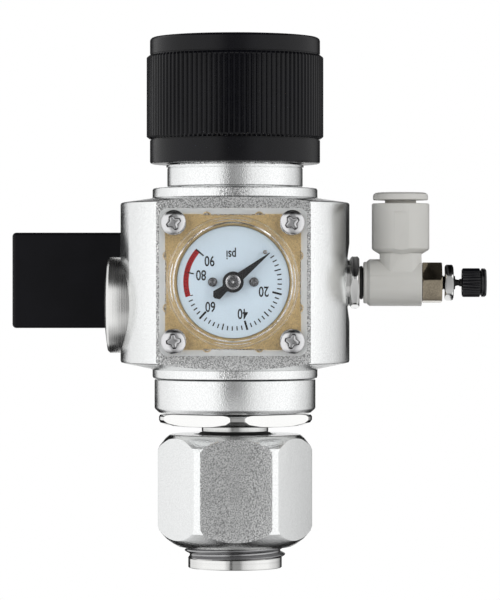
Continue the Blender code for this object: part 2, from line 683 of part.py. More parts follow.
def make_outlet():
    """Swivel elbow on the right, with its push-in socket and needle valve."""
    at = (0, 0, OUTLET_Z)
    section = [
        (1.1, 15.0),
        (3.7, 15.0),
        (4.0, 15.4),
        (4.0, 22.9),
        (5.0, 22.9),
        (5.0, 24.0),
        (5.1, 24.0),
        (5.75, 24.4),
        (5.75, 25.5),
        (5.1, 25.94),
        (2.85, 25.94),
        (2.85, 28.6),
        (2.3, 28.6),
        (2.3, 29.6),
        (2.85, 29.6),
        (2.85, 31.3),
        (1.1, 31.3),
    ]
    adapter = place("outlet_adapter", revolve(section, MEDIUM), POLISHED, "+X", at)
    hexagon = extrude(polygon(6, 10.2, math.radians(-10)), 10, 40)
    combine(adapter, place("add_outlet_adapter_hexagon", hexagon, None, "+X", at), "INTERSECT")
    ring = [(2.95, 26.0), (3.3, 25.98), (3.5, 26.35), (3.3, 26.72), (2.95, 26.7)]
    place("outlet_ring", revolve(ring), RUBBER, "+X", at)
    place("swivel_ring", tube(2.42, 3.0, 28.7, 29.5, MEDIUM), RUBBER, "+X", at)

    barrel = [
        (0, 26.8),
        (4.2, 26.8),
        (4.4, 27.0),
        (4.4, 27.6),
        (SWIVEL_R, 27.6),
        (SWIVEL_R, 38.6),
        (4.6, 38.9),
        (0, 38.9),
    ]
    elbow = place("elbow_body", revolve(barrel, 24), WHITE, "+X", at)
    up = (ELBOW_X, 0, 0)
    riser = [
        (0, OUTLET_Z),
        (NECK_PIPE_R, OUTLET_Z),
        (NECK_PIPE_R, 65.1),
        (5.9, 66.1),
        (SOCKET_R, 66.2),
        (SOCKET_R, SOCKET_TOP),
        (0, SOCKET_TOP),
    ]
    join(elbow, revolve(riser, 24), "+Z", up)
    cut(elbow, revolve([(0, 20), (3.15, 20), (3.15, 45), (0, 45)], 16), "+X", at)
    bore = [
        (0, OUTLET_Z),
        (1.4, OUTLET_Z),
        (1.4, 66.6),
        (TUBE_BORE_R, 66.6),
        (TUBE_BORE_R, 70.0),
        (SOCKET_BORE_R, 70.0),
        (SOCKET_BORE_R, 77),
        (0, 77),
    ]
    cut(elbow, revolve(bore, 18), "+Z", up)

    place("tube_seal", tube(2.25, 4.7, 70.2, 71.6, 24), RUBBER, "+Z", up)
    grip = [(2.3, 71.8), (4.7, 71.8), (4.7, 72.3), (2.3, 72.3)]
    place("tube_gripper", revolve(grip, 24), STEEL, "+Z", up)
    collar = [
        (TUBE_BORE_R, 73.1),
        (3.25, 73.1),
        (3.25, 76.6),
        (5.5, 76.6),
        (5.75, 76.8),
        (5.75, 77.7),
        (5.2, 78.2),
        (2.9, 78.2),
        (TUBE_BORE_R, 77.5),
    ]
    place("release_collar", revolve(collar, 24), WHITE, "+Z", up)
    bush = [(3.45, 72.6), (4.7, 72.6), (4.7, 75.7), (3.45, 75.7)]
    place("socket_bush", revolve(bush, 24), BRASS, "+Z", up)

    core = [
        (1.65, 36.0),
        (2.9, 36.0),
        (2.9, 39.05),
        (4.1, 39.05),
        (4.6, 39.3),
        (4.6, 42.9),
        (4.1, 43.15),
        (1.65, 43.15),
    ]
    valve = place("valve_core", revolve(core, MEDIUM), DARK_HEX, "+X", at)
    hexagon = extrude(polygon(6, 8.0, math.radians(-6)), 30, 50)
    combine(valve, place("add_valve_core_hexagon", hexagon, None, "+X", at), "INTERSECT")
    nut = [(1.65, 43.7), (3.3, 43.7), (3.8, 43.95), (3.8, 45.3), (3.3, 45.55), (1.65, 45.55)]
    lock = place("needle_locknut", revolve(nut, MEDIUM), POLISHED, "+X", at)
    hexagon = extrude(polygon(6, 6.7, math.radians(-21)), 40, 50)
    combine(lock, place("add_needle_locknut_hexagon", hexagon, None, "+X", at), "INTERSECT")
    stem = [
        (0, 31.6),
        (0.3, 31.6),
        (1.0, 34.0),
        (1.46, 34.6),
        (1.46, 45.75),
        (0.85, 46.0),
        (0.7, 46.5),
        (0.85, 47.0),
        (0.85, 50.0),
        (0, 50.0),
    ]
    place("needle_stem", revolve(stem, 16), STEEL, "+X", at)
    knob = [
        (0.95, 47.3),
        (2.7, 47.3),
        (3.0, 47.6),
        (3.0, 50.9),
        (2.8, 51.0),
        (2.8, 51.3),
        (3.0, 51.4),
        (3.0, 52.1),
        (2.7, 52.4),
        (0, 52.4),
        (0, 50.2),
        (0.95, 50.2),
    ]

    def ribbed(index, step, r):
        return r - 0.15 if index in (2, 3) and step % 2 else r

    place("needle_knob", revolve(knob, 24, ribbed), BLACK, "+X", at)


def make_solenoid():
    """Shut-off solenoid carried on the back of the body."""
    block = place(
        "solenoid_block",
        extrude(rounded_polygon(rectangle(24, 19), 1.5), 24.25, 35.2),
        NICKEL,
        "+Y",
        (-5.0, 0, BACK_PORT_Z),
    )
    join(block, rod(4.8, 16.0, 25.0, 24), "+Y", (0, 0, BACK_PORT_Z))
    cut(block, rod(1.3, 10.0, 29.75, 12), "+Y", (0, 0, BACK_PORT_Z))
    chamber = [(0, -3), (1.2, -3), (1.2, 12.8), (4.8, 12.8), (4.8, 20), (0, 20)]
    cut(block, revolve(chamber, 24), "-X", (0, COIL_Y, COIL_Z))

    guide = [
        (3.9, 13.2),
        (4.5, 13.2),
        (4.5, 44.6),
        (1.7, 44.6),
        (1.7, 40.4),
        (0, 40.4),
        (0, 37.2),
        (3.9, 37.2),
    ]
    place("solenoid_tube", revolve(guide, 24), STEEL, "-X", (0, COIL_Y, COIL_Z))
    plunger = [
        (0, 13.6),
        (2.6, 13.6),
        (3.6, 14.4),
        (3.6, 36.0),
        (2.1, 36.0),
        (2.1, 31.0),
        (0, 31.0),
    ]
    place("solenoid_plunger", revolve(plunger, 24), STEEL, "-X", (0, COIL_Y, COIL_Z))
    place("plunger_spring", coil_spring(1.5, 0.25, 31.1, 37.0, 5), STEEL, "-X", (0, COIL_Y, COIL_Z))

    middle = (-(COIL_LEFT + COIL_RIGHT) / 2, 0)
    outline = rounded_polygon(rectangle(COIL_LEFT - COIL_RIGHT, COIL_SIDE, middle), 0.9)
    box = extrude(outline, COIL_Y - COIL_SIDE / 2, COIL_Y + COIL_SIDE / 2)
    coil = place("coil_housing", box, BLACK, "+Y", (0, 0, COIL_Z))
    well = [(0, 10), (4.8, 10), (4.8, 44.9), (1.9, 44.9), (1.9, 45.6), (3.6, 45.6), (3.6, 50), (0, 50)]
    cut(coil, revolve(well, 24), "-X", (0, COIL_Y, COIL_Z))
    cut(coil, rod(1.7, 6.0, 12.0, 16), "+Y", (-30.0, COIL_Y, COIL_Z))
    pan_head_screw("coil_screw", STEEL, "-X", (-45.75, COIL_Y, COIL_Z), 3.3, 1.9, 1.4, 4.6)
    gland = [(1.1, 10.55), (3.0, 10.55), (3.0, 11.6), (2.3, 13.6), (1.1, 13.6)]
    place("cable_gland", revolve(gland, SMALL), RUBBER, "+Y", (-30.0, COIL_Y, COIL_Z))


for old in list(bpy.data.objects):
    bpy.data.objects.remove(old, do_unlink=True)
make_cylinder_side()
make_body()
make_valve_train()
make_knob()
make_gauge()
make_plug()
make_outlet()
make_solenoid()
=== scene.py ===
"""Looks of the small carbon dioxide regulator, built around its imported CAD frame."""

import math

import bmesh
import bpy
from mathutils import Matrix, Vector


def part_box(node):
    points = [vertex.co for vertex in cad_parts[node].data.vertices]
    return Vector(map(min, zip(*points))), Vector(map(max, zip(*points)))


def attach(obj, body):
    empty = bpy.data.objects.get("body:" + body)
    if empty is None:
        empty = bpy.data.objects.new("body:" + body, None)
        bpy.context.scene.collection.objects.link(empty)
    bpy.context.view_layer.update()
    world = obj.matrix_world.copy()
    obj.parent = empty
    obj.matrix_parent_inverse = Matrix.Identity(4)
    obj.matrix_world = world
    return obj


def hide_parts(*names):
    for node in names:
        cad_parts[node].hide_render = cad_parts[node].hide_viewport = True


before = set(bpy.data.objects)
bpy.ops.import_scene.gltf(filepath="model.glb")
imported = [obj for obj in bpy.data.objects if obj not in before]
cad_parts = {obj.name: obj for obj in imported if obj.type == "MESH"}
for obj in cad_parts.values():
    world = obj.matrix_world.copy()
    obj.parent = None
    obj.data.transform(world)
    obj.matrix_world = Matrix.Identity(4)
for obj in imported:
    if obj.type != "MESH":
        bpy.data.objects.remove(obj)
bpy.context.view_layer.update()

MM = 0.001
FINE, MEDIUM, SMALL = 144, 72, 40
BODY = "regulator"
COVER_SCREWS = [f"cover_screw_{number}" for number in range(1, 5)]
TURNS = {
    "+Z": Matrix(),
    "+X": Matrix.Rotation(math.pi / 2, 4, "Y"),
    "-X": Matrix.Rotation(-math.pi / 2, 4, "Y"),
    "-Y": Matrix.Rotation(math.pi / 2, 4, "X"),
    "+Y": Matrix.Rotation(-math.pi / 2, 4, "X"),
}


def spans(node):
    """Lowest and highest corner of a CAD node, in millimetres."""
    low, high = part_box(node)
    return [value / MM for value in low], [value / MM for value in high]


def middle(node, axis):
    low, high = spans(node)
    return (low[axis] + high[axis]) / 2


def half(node, axis):
    low, high = spans(node)
    return (high[axis] - low[axis]) / 2


def facing(node):
    """A point on the front-to-back line through the middle of a CAD node."""
    return middle(node, 0), 0, middle(node, 2)


def ends(node, direction):
    """Where a CAD node starts and ends, measured along a direction such as +Z or -Y."""
    low, high = spans(node)
    axis = "XYZ".index(direction[1])
    return (low[axis], high[axis]) if direction[0] == "+" else (-high[axis], -low[axis])


# ---- shapes


def revolve(section, steps=MEDIUM, radius=None):
    """A closed (r, z) section turned about Z. radius(index, step, r) may vary it round the turn."""
    shape = bmesh.new()
    rings = []
    for index, (r, z) in enumerate(section):
        ring = []
        for step in range(steps if r > 0 else 1):
            angle = 2 * math.pi * step / steps
            far = radius(index, step, r) if radius else r
            ring.append(shape.verts.new((*polar(far, angle), z)))
        rings.append(ring)
    for low, high in zip(rings, rings[1:] + rings[:1]):
        if len(low) == 1 and len(high) == 1:
            continue
        for step in range(steps):
            after = (step + 1) % steps
            if len(low) == 1:
                corners = (low[0], high[step], high[after])
            elif len(high) == 1:
                corners = (low[step], low[after], high[0])
            else:
                corners = (low[step], low[after], high[after], high[step])
            shape.faces.new(corners)
    return shape


def add_prism(shape, outline, low, high):
    under = [shape.verts.new((x, y, low)) for x, y in outline]
    over = [shape.verts.new((x, y, high)) for x, y in outline]
    shape.faces.new(under[::-1])
    shape.faces.new(over)
    for index in range(len(outline)):
        after = (index + 1) % len(outline)
        shape.faces.new((under[index], under[after], over[after], over[index]))


def ribs(pattern, depth, rows):
    """A radius function for revolve that cuts a repeated pattern into some rows of the section."""
    return lambda index, step, r: r - depth * pattern[step % len(pattern)] if index in rows else r


def extrude(outline, low, high):
    shape = bmesh.new()
    add_prism(shape, outline, low, high)
    return shape


def polar(r, angle, at=(0.0, 0.0)):
    return at[0] + r * math.cos(angle), at[1] + r * math.sin(angle)


def circle(r, steps=SMALL, at=(0.0, 0.0)):
    return [polar(r, 2 * math.pi * step / steps, at) for step in range(steps)]


def rod(r, low, high, steps=SMALL, at=(0.0, 0.0)):
    return extrude(circle(r, steps, at), low, high)


def rounded(corners, corner_r, steps=8):
    """Outline whose corners are arcs of corner_r; corners run anticlockwise."""
    outline = []
    for index, (x, y) in enumerate(corners):
        before, after = corners[index - 1], corners[(index + 1) % len(corners)]
        back = math.atan2(before[1] - y, before[0] - x)
        ahead = math.atan2(after[1] - y, after[0] - x)
        half_angle = ((back - ahead) % (2 * math.pi)) / 2
        bisector = ahead + half_angle
        reach = corner_r / math.sin(half_angle)
        centre = polar(reach, bisector, (x, y))
        sweep = math.pi / 2 - half_angle
        for step in range(steps + 1):
            angle = bisector + math.pi - sweep + 2 * sweep * step / steps
            outline.append(polar(corner_r, angle, centre))
    return outline


def turned_outline(outline, angle):
    turn, lean = math.cos(angle), math.sin(angle)
    return [(x * turn - y * lean, x * lean + y * turn) for x, y in outline]


def polygon(count, flats, degrees=0.0):
    reach, turn = flats / 2 / math.cos(math.pi / count), math.radians(degrees)
    return [polar(reach, turn + 2 * math.pi * (index + 0.5) / count) for index in range(count)]


def rectangle(width, height, at=(0.0, 0.0)):
    x, y = width / 2, height / 2
    return [(at[0] + a * x, at[1] + b * y) for a, b in ((-1, -1), (1, -1), (1, 1), (-1, 1))]


def helix_rod(root, crest, pitch, low, high, steps=MEDIUM):
    """A solid rod with a right-hand screw thread."""
    shape = bmesh.new()
    parts = (0.0, 0.16, 0.24, 0.50, 0.56, 0.66, 0.72, 0.96)
    heights = (0.0, 0.0, 0.12, 0.94, 1.0, 1.0, 0.94, 0.12)
    count = int((high - low) / pitch) + 3
    rows = [(turn + part) * pitch for turn in range(-1, count) for part in parts]
    rises = heights * (count + 1)
    made = []
    for step in range(steps + 1):
        angle = 2 * math.pi * step / steps
        column = []
        for row, rise in zip(rows, rises):
            z = low + row + pitch * step / steps
            edge = min(max(min(z - low, high - z) / (0.6 * pitch), 0.0), 1.0)
            r = root + (crest - root) * rise * edge
            column.append(shape.verts.new((*polar(r, angle), min(max(z, low), high))))
        made.append(column)
    for left, right in zip(made, made[1:]):
        for row in range(len(left) - 1):
            shape.faces.new((left[row], right[row], right[row + 1], left[row + 1]))
    bmesh.ops.remove_doubles(shape, verts=shape.verts, dist=1e-4)
    bmesh.ops.holes_fill(shape, edges=[edge for edge in shape.edges if edge.is_boundary], sides=0)
    return shape


def add_object(name, data):
    made = bpy.data.objects.new(name, data)
    bpy.context.scene.collection.objects.link(made)
    return made


def final_mesh(made):
    """A new mesh of an object as its modifiers or its text leave it."""
    graph = bpy.context.evaluated_depsgraph_get()
    graph.update()
    return bpy.data.meshes.new_from_object(made.evaluated_get(graph))


def solid(shape, axis="+Z", at=(0.0, 0.0, 0.0)):
    """A bmesh in millimetres as an object in metres, already in its place."""
    bmesh.ops.recalc_face_normals(shape, faces=shape.faces)
    shape.transform(Matrix.Translation(Vector(at) * MM) @ TURNS[axis] @ Matrix.Scale(MM, 4))
    mesh = bpy.data.meshes.new("shape")
    shape.to_mesh(mesh)
    shape.free()
    return add_object("shape", mesh)


def settle(made):
    """Turns an object's modifiers into its mesh."""
    mesh = final_mesh(made)
    made.modifiers.clear()
    old, made.data = made.data, mesh
    bpy.data.meshes.remove(old)


def carve(target, operation, *others):
    for other in others:
        modifier = target.modifiers.new("carve", "BOOLEAN")
        modifier.operation = operation
        modifier.solver = "EXACT"
        modifier.object = other
        settle(target)
        bpy.data.objects.remove(other, do_unlink=True)
    return target


def cut(target, shape, axis="+Z", at=(0.0, 0.0, 0.0)):
    return carve(target, "DIFFERENCE", solid(shape, axis, at))


def join(target, shape, axis="+Z", at=(0.0, 0.0, 0.0)):
    return carve(target, "UNION", solid(shape, axis, at))


def keep(target, shape, axis="+Z", at=(0.0, 0.0, 0.0)):
    return carve(target, "INTERSECT", solid(shape, axis, at))


def hexed(section, outline, low, high, at):
    """A section turned about the outlet's axis, cut to an outline between two distances."""
    return keep(solid(revolve(section, FINE), "+X", at), extrude(outline, low, high), "+X", at)


def piece(made, name, finish, body=BODY, node=None, slot=None, bevel=0.0, angle=32):
    """Names a finished solid, rounds its edges, and hangs it on its body in place of its CAD node."""
    if bevel:
        modifier = made.modifiers.new("edges", "BEVEL")
        modifier.width = bevel * MM
        modifier.segments = 3
        modifier.limit_method = "ANGLE"
        modifier.angle_limit = math.radians(angle)
        modifier.use_clamp_overlap = True
        settle(made)
    made.data.shade_smooth()
    made.data.set_sharp_from_angle(angle=math.radians(angle))
    made.name = name
    made.data.name = name
    made.data.materials.clear()
    made.data.materials.append(finish)
    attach(made, body)
    if node:
        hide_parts(node)
    return made


def turned_piece(section, *names):
    """A piece that is one section turned about the main axis."""
    piece(solid(revolve(section, FINE)), *names)


def second_finish(made, finish, chosen):
    """Gives the faces that chosen(normal, centre) picks a second material."""
    made.data.materials.append(finish)
    for face in made.data.polygons:
        if chosen(face.normal, face.center):
            face.material_index = len(made.data.materials) - 1


# ---- materials


def feed(links, socket, value):
    """Links a node's output to a socket, or sets the socket to a plain value."""
    if isinstance(value, bpy.types.NodeSocket):
        links.new(value, socket)
    else:
        socket.default_value = value


class Finish:
    """A Principled material with a few procedural layers."""

    def __init__(self, name, colour, metallic, roughness):
        self.made = bpy.data.materials.new(name)
        self.made.use_nodes = True
        self.nodes = self.made.node_tree.nodes
        self.links = self.made.node_tree.links
        self.shader = self.nodes["Principled BSDF"]
        self.colour = colour
        self.roughness = roughness
        self.put(self.shader, Base_Color=(*colour, 1.0), Metallic=metallic, Roughness=roughness)
        self.place = self.nodes.new("ShaderNodeTexCoord").outputs["Object"]
        self.normal = None

    def put(self, node, **sockets):
        """Links or sets a node's sockets, named with underscores for spaces."""
        for name, value in sockets.items():
            feed(self.links, node.inputs[name.replace("_", " ")], value)
        return node

    def node(self, kind, **sockets):
        return self.put(self.nodes.new("ShaderNode" + kind), **sockets)

    def noise(self, scale, detail=2.0, stretch=(1.0, 1.0, 1.0)):
        place = self.node("Mapping", Vector=self.place, Scale=stretch).outputs["Vector"]
        return self.node("TexNoise", Vector=place, Scale=scale, Detail=detail).outputs["Fac"]

    def cells(self, scale):
        """Distance to the middle of small random cells, as bead blasting leaves them."""
        return self.node("TexVoronoi", Vector=self.place, Scale=scale).outputs["Distance"]

    def spread(self, value, low, high, start=0.3, end=0.7):
        limits = {"From_Min": start, "From_Max": end, "To_Min": low, "To_Max": high}
        return self.node("MapRange", Value=value, **limits).outputs["Result"]

    def bump(self, value, strength, distance):
        bump = self.node("Bump", Height=value, Strength=strength, Distance=distance)
        if self.normal:
            self.put(bump, Normal=self.normal)
        self.normal = bump.outputs["Normal"]
        self.put(self.shader, Normal=self.normal)

    def vary_roughness(self, value, amount):
        low, high = max(self.roughness - amount, 0.02), self.roughness + amount
        self.put(self.shader, Roughness=self.spread(value, low, high))

    def vary_colour(self, value, low, high, start=0.3, end=0.7):
        """Mixes between the base colour scaled by low and by high."""
        ramp = self.nodes.new("ShaderNodeMix")
        ramp.data_type = "RGBA"
        ramp.inputs[6].default_value = (*[channel * low for channel in self.colour], 1.0)
        ramp.inputs[7].default_value = (*[channel * high for channel in self.colour], 1.0)
        self.links.new(self.spread(value, 0.0, 1.0, start, end), ramp.inputs[0])
        self.put(self.shader, Base_Color=ramp.outputs[2])


def surface(name, colour, metallic, roughness, blotch=None, tint=None, relief=None, **sockets):
    """A finish with up to three noise layers, and shader sockets named with underscores.

    blotch is (scale, change of roughness), tint is (scale, darkest, lightest) and relief is
    (scale, strength, depth).
    """
    made = Finish(name, colour, metallic, roughness)
    if blotch:
        made.vary_roughness(made.noise(blotch[0]), blotch[1])
    if tint:
        made.vary_colour(made.noise(tint[0]), tint[1], tint[2])
    if relief:
        made.bump(made.noise(relief[0]), relief[1], relief[2])
    made.put(made.shader, **sockets)
    return made.made


def blasted_nickel(name, roughness, depth, dark, light):
    """Nickel plate over a bead-blasted surface: a fine even grain."""
    made = Finish(name, (0.80, 0.81, 0.81), 1.0, roughness)
    made.vary_colour(made.noise(4200, 4.0), dark, light, 0.36, 0.64)
    made.bump(made.cells(3600), 1.0, depth)
    made.vary_roughness(made.noise(260), 0.03)
    return made.made


def turned_nickel(name, axis, roughness):
    """Nickel with the fine rings of a turning tool; the rings follow the given axis."""
    made = Finish(name, (0.72, 0.72, 0.71), 1.0, roughness)
    stretch = [0.004, 0.004, 0.004]
    stretch["XYZ".index(axis)] = 1.0
    rings = made.noise(5200, 1.0, stretch)
    made.bump(rings, 0.5, 0.00003)
    made.vary_colour(rings, 0.88, 1.05)
    made.vary_roughness(rings, 0.05)
    return made.made


def gauge_brass():
    """Rough sandy brass of the gauge's back plate."""
    made = Finish("sandy_gauge_plate", (0.46, 0.33, 0.15), 0.35, 0.55)
    grain = made.noise(3600, 3.0)
    made.vary_colour(grain, 0.72, 1.25)
    made.bump(grain, 0.5, 0.00004)
    return made.made


def clear_plastic():
    made = Finish("clear_cover_plastic", (1.0, 1.0, 1.0), 0.0, 0.03)
    made.put(made.shader, Transmission_Weight=1.0, IOR=1.49, Specular_IOR_Level=0.3, Alpha=0.85)
    made.bump(made.noise(160, 1.0), 0.05, 0.00002)
    return made.made


def black_plastic(name, roughness, grain_strength, gloss=0.28):
    colour, grain = (0.0028, 0.0028, 0.0042), (5200, grain_strength, 0.00002)
    return surface(
        name, colour, 0.0, roughness, (900, 0.04), (120, 0.8, 1.4), grain, Specular_IOR_Level=gloss
    )


def ink(name, colour):
    return surface(name, colour, 0.0, 0.5, tint=(3000, 0.9, 1.1), Specular_IOR_Level=0.1)


# Nickel: the blasted body parts, their flats and chamfers, the polished and turned parts, and a darker
# nickel that paints the shade on the thread under the nut
NICKEL = blasted_nickel("blasted_nickel", 0.21, 0.00002, 0.92, 1.05)
FLAT_NICKEL = blasted_nickel("blasted_nickel_flat", 0.22, 0.00003, 0.52, 1.52)
EDGE_NICKEL = blasted_nickel("nickel_chamfer", 0.16, 0.00002, 0.92, 1.04)
POLISHED = surface(
    "polished_nickel", (0.78, 0.78, 0.77), 1.0, 0.11, (900, 0.03), relief=(500, 0.12, 0.00001)
)
TURNED_X = turned_nickel("turned_nickel_plug", "X", 0.24)
TURNED_Z = turned_nickel("turned_nickel_shank", "Z", 0.11)
THREAD_PAINTED_SHADE = surface(
    "thread_nickel_painted_shade", (0.34, 0.34, 0.345), 1.0, 0.2, (900, 0.05), relief=(1400, 0.3, 0.00002)
)

# Steel, from bright screws to the near-black walls of their recesses, whose colour is painted shade
STEEL = surface(
    "machined_steel", (0.60, 0.61, 0.62), 1.0, 0.22, (3000, 0.06), relief=(3000, 0.2, 0.00001)
)
BRIGHT = surface(
    "bright_screw_steel", (0.62, 0.62, 0.63), 1.0, 0.17, (1500, 0.04), relief=(1200, 0.15, 0.00001)
)
# Dark steel for the dial plate screws; it is also the painted shade on the pointer boss's cup floor
DARK_STEEL = surface("blackened_steel_and_painted_shade", (0.15, 0.152, 0.16), 1.0, 0.25, (2500, 0.06))
PAINTED_RECESS_SHADE = surface("recess_shadow", (0.03, 0.03, 0.03), 0.6, 0.4, (2500, 0.06))

# Brass
BRASS = surface("machined_brass", (0.70, 0.52, 0.24), 1.0, 0.28, (2500, 0.06), (400, 0.85, 1.05))
PLATE = gauge_brass()
HEXED = surface("dull_plated_brass", (0.40, 0.345, 0.26), 1.0, 0.15, (700, 0.05), (3200, 0.80, 1.10))

# Plastic and rubber
KNOB_BLACK = black_plastic("knob_black_plastic", 0.27, 0.2, 0.21)
GRIP_BLACK = black_plastic("needle_grip_black_plastic", 0.22, 0.1, 0.42)
COIL_BLACK = black_plastic("coil_black_plastic", 0.46, 0.35, 0.15)
POINTER_BLACK = black_plastic("pointer_black_enamel", 0.35, 0.05, 0.15)
RUBBER = surface(
    "black_nitrile", (0.012, 0.012, 0.012), 0.0, 0.62, (3000, 0.06), relief=(3000, 0.3, 0.00002)
)
WHITE = surface(
    "offwhite_plastic", (0.545, 0.54, 0.515), 0.0, 0.36, (500, 0.04), (90, 0.97, 1.03),
    (2600, 0.12, 0.00001), Subsurface_Weight=0.08, Subsurface_Radius=(0.0012, 0.0011, 0.0009),
)
CLEAR = clear_plastic()
FROSTED = surface("frosted_cover_border", (0.74, 0.76, 0.76), 0.0, 0.35, (700, 0.05), Alpha=0.5)

# Dial
DIAL_PAINT = surface(
    "pale_blue_dial_paint", (0.60, 0.715, 0.81), 0.0, 0.42,
    tint=(2400, 0.985, 1.015), relief=(4000, 0.08, 0.00001),
)
INK = ink("dial_black_ink", (0.004, 0.004, 0.006))
RED_INK = ink("dial_red_ink", (0.31, 0.004, 0.006))


# ---- knob and bonnet


def make_knob():
    base, top = ends("adjustment_knob", "+Z")
    rib_r = half("adjustment_knob", 0)
    plain_r = rib_r - 0.7
    cap_seat_r, screw_head_r, screw_r, socket_r, skirt_r = 9.3, 3.3, 1.6, 3.2, 13.2
    head_seat, socket_top, skirt_top = 106.2, 105.0, 102.0
    rib_count, pattern = 108, (0.0, 0.0, 0.0, 0.7, 1.0, 0.7)
    band_low, band_high = base + 5.15, top - 3.7
    edge = 0.8
    outer = [
        (13.6, base), (plain_r - 0.5, base), (plain_r - 0.12, base + 0.15), (plain_r, base + 0.5),
        (plain_r, band_low - 0.25), (plain_r - 0.25, band_low - 0.2), (plain_r - 0.25, band_low),
        (plain_r + 0.05, band_low), (rib_r - 0.1, band_low + 0.42), (rib_r, band_low + 0.55),
        (rib_r, band_high - 0.55), (rib_r - 0.1, band_high - 0.42), (plain_r + 0.05, band_high),
        (plain_r - 0.15, band_high), (plain_r - 0.15, band_high + 0.2), (plain_r, band_high + 0.25),
    ]
    for step in range(7):
        angle = math.pi / 2 * step / 6
        outer.append(polar(edge, angle, (plain_r - edge, top - edge)))
    outer += [(cap_seat_r + 0.3, top), (cap_seat_r, top - 0.3), (cap_seat_r, top - 1.2)]
    outer += [(screw_head_r, top - 1.2), (screw_head_r, head_seat), (screw_r, head_seat)]
    outer += [(screw_r, socket_top), (socket_r, socket_top), (socket_r, skirt_top)]
    outer += [(skirt_r, skirt_top), (skirt_r, base + 0.4)]
    knob = solid(revolve(outer, rib_count * len(pattern), ribs(pattern, 0.32, (8, 9, 10, 11))))
    piece(knob, "ribbed_knob_shell", KNOB_BLACK, "knob", "adjustment_knob", "black_plastic", angle=38)

    base, top = ends("knob_cap", "+Z")
    cap_r = half("knob_cap", 0)
    section = [(0, base), (cap_r - 0.1, base), (cap_r, base + 0.1), (cap_r, top - 0.2)]
    section += [(cap_r - 0.2, top), (6.6, top), (6.5, top - 0.15), (6.2, top - 0.15)]
    section += [(6.1, top), (0, top)]
    turned_piece(section, "knob_top_cap", KNOB_BLACK, "knob", "knob_cap", "black_plastic")


def make_bonnet():
    foot, top = ends("bonnet", "+Z")
    lip_r, bore_r, ceiling = half("bonnet", 0), 9.6, 96.2
    neck_r = lip_r - 0.2
    neck_low, neck_high = foot + 2.0, foot + 6.5
    section = [
        (bore_r, foot), (11.7, foot), (11.7, neck_low), (neck_r - 0.15, neck_low),
        (neck_r, neck_low + 0.15), (neck_r, neck_high - 0.75), (neck_r - 0.12, neck_high - 0.68),
        (neck_r - 0.12, neck_high - 0.56), (lip_r, neck_high - 0.5), (lip_r, neck_high - 0.08),
        (lip_r - 0.1, neck_high), (12.4, neck_high), (12.4, top - 0.3), (12.1, top), (3.4, top),
        (3.4, ceiling), (bore_r, ceiling),
    ]
    turned_piece(section, "bonnet_neck", NICKEL, BODY, "bonnet", "satin_nickel")


# ---- body


def make_body():
    """The turned body. Each bore is a table of (radius, distance) steps along its own axis, and
    the side bores start at centre_hole from the main axis, inside the central bore.
    """
    low, high = spans("body_block")
    base, top, r, flat = low[2], high[2], high[0], -low[1]
    flange_r, flat_height, pocket_r, pocket_floor, centre_hole = 17.22, 38, 13.2, 10.6, 1.5
    section = [
        (0, base), (flange_r - 0.5, base), (flange_r - 0.1, base + 0.2), (flange_r, base + 0.6),
        (flange_r, base + 1.85), (flange_r + 0.35, base + 2.05), (r - 0.7, base + 3.2),
        (r - 0.15, base + 3.4), (r, base + 3.8), (r, top - 3.5), (r - 0.1, top - 3.2),
        (r - 0.4, top - 3.02), (flange_r + 0.3, top - 2.15), (flange_r, top - 1.95),
        (flange_r, top - 0.5), (flange_r - 0.15, top - 0.14), (flange_r - 0.5, top), (0, top),
    ]
    body = solid(revolve(section, 192))
    bore = [(0, 38), (8.3, 38), (8.3, 47.0), (5.7, 47.0), (5.7, 49.2), (3.0, 49.2), (3.0, 73.6)]
    bore += [(12.0, 73.6), (12.0, 81), (0, 81)]
    cut(body, revolve(bore, MEDIUM))
    gauge_z = middle("gauge_dial", 2)
    cut(body, extrude(rectangle(60, flat_height, (0, middle("body_block", 2) + 0.65)), flat, 30), "-Y")
    cut(body, rod(pocket_r, pocket_floor, 30, FINE), "-Y", (0, 0, gauge_z))
    port = [(0, centre_hole), (1.3, centre_hole), (1.3, 8.0), (2.2, 8.0), (2.2, 12), (0, 12)]
    cut(body, revolve(port, SMALL), "-Y", (0, 0, gauge_z))
    for screw in COVER_SCREWS:
        cut(body, rod(1.3, 12.2, 20, 24), "-Y", facing(screw))
    outlet = [(0, centre_hole), (1.6, centre_hole), (1.6, 14.2), (4.3, 14.2), (4.3, 22.7)]
    outlet += [(5.6, 23.0), (8.6, 24.0), (8.9, 24.4), (8.9, 26), (0, 26)]
    cut(body, revolve(outlet), "+X", (0, 0, middle("outlet_adapter", 2)))
    spotface = [(0, centre_hole), (1.6, centre_hole), (1.6, 12.4), (5.1, 12.4), (5.1, 20.2)]
    spotface += [(10.15, 20.2), (10.15, 26), (0, 26)]
    cut(body, revolve(spotface, FINE), "-X", (0, 0, middle("port_plug", 2)))
    back = [(0, centre_hole), (1.4, centre_hole), (1.4, 15.4), (5.1, 15.4), (5.1, 26), (0, 26)]
    cut(body, revolve(back), "+Y", (0, 0, middle("solenoid_block", 2)))
    piece(body, "body_casting", NICKEL, BODY, "body_block", "satin_nickel", bevel=0.16, angle=34)
    second_finish(body, FLAT_NICKEL, lambda normal, centre: normal.y < -0.9 and centre.y < -17 * MM)

    base, top = ends("inlet_collar", "+Z")
    r = half("inlet_collar", 0)
    section = [(8.3, base), (r - 0.9, base), (r - 0.15, base + 0.7), (r, base + 1.0)]
    section += [(r, top - 0.1), (r - 0.1, top), (8.3, top)]
    turned_piece(section, "inlet_cup", NICKEL, BODY, "inlet_collar", "satin_nickel")


# ---- cylinder side


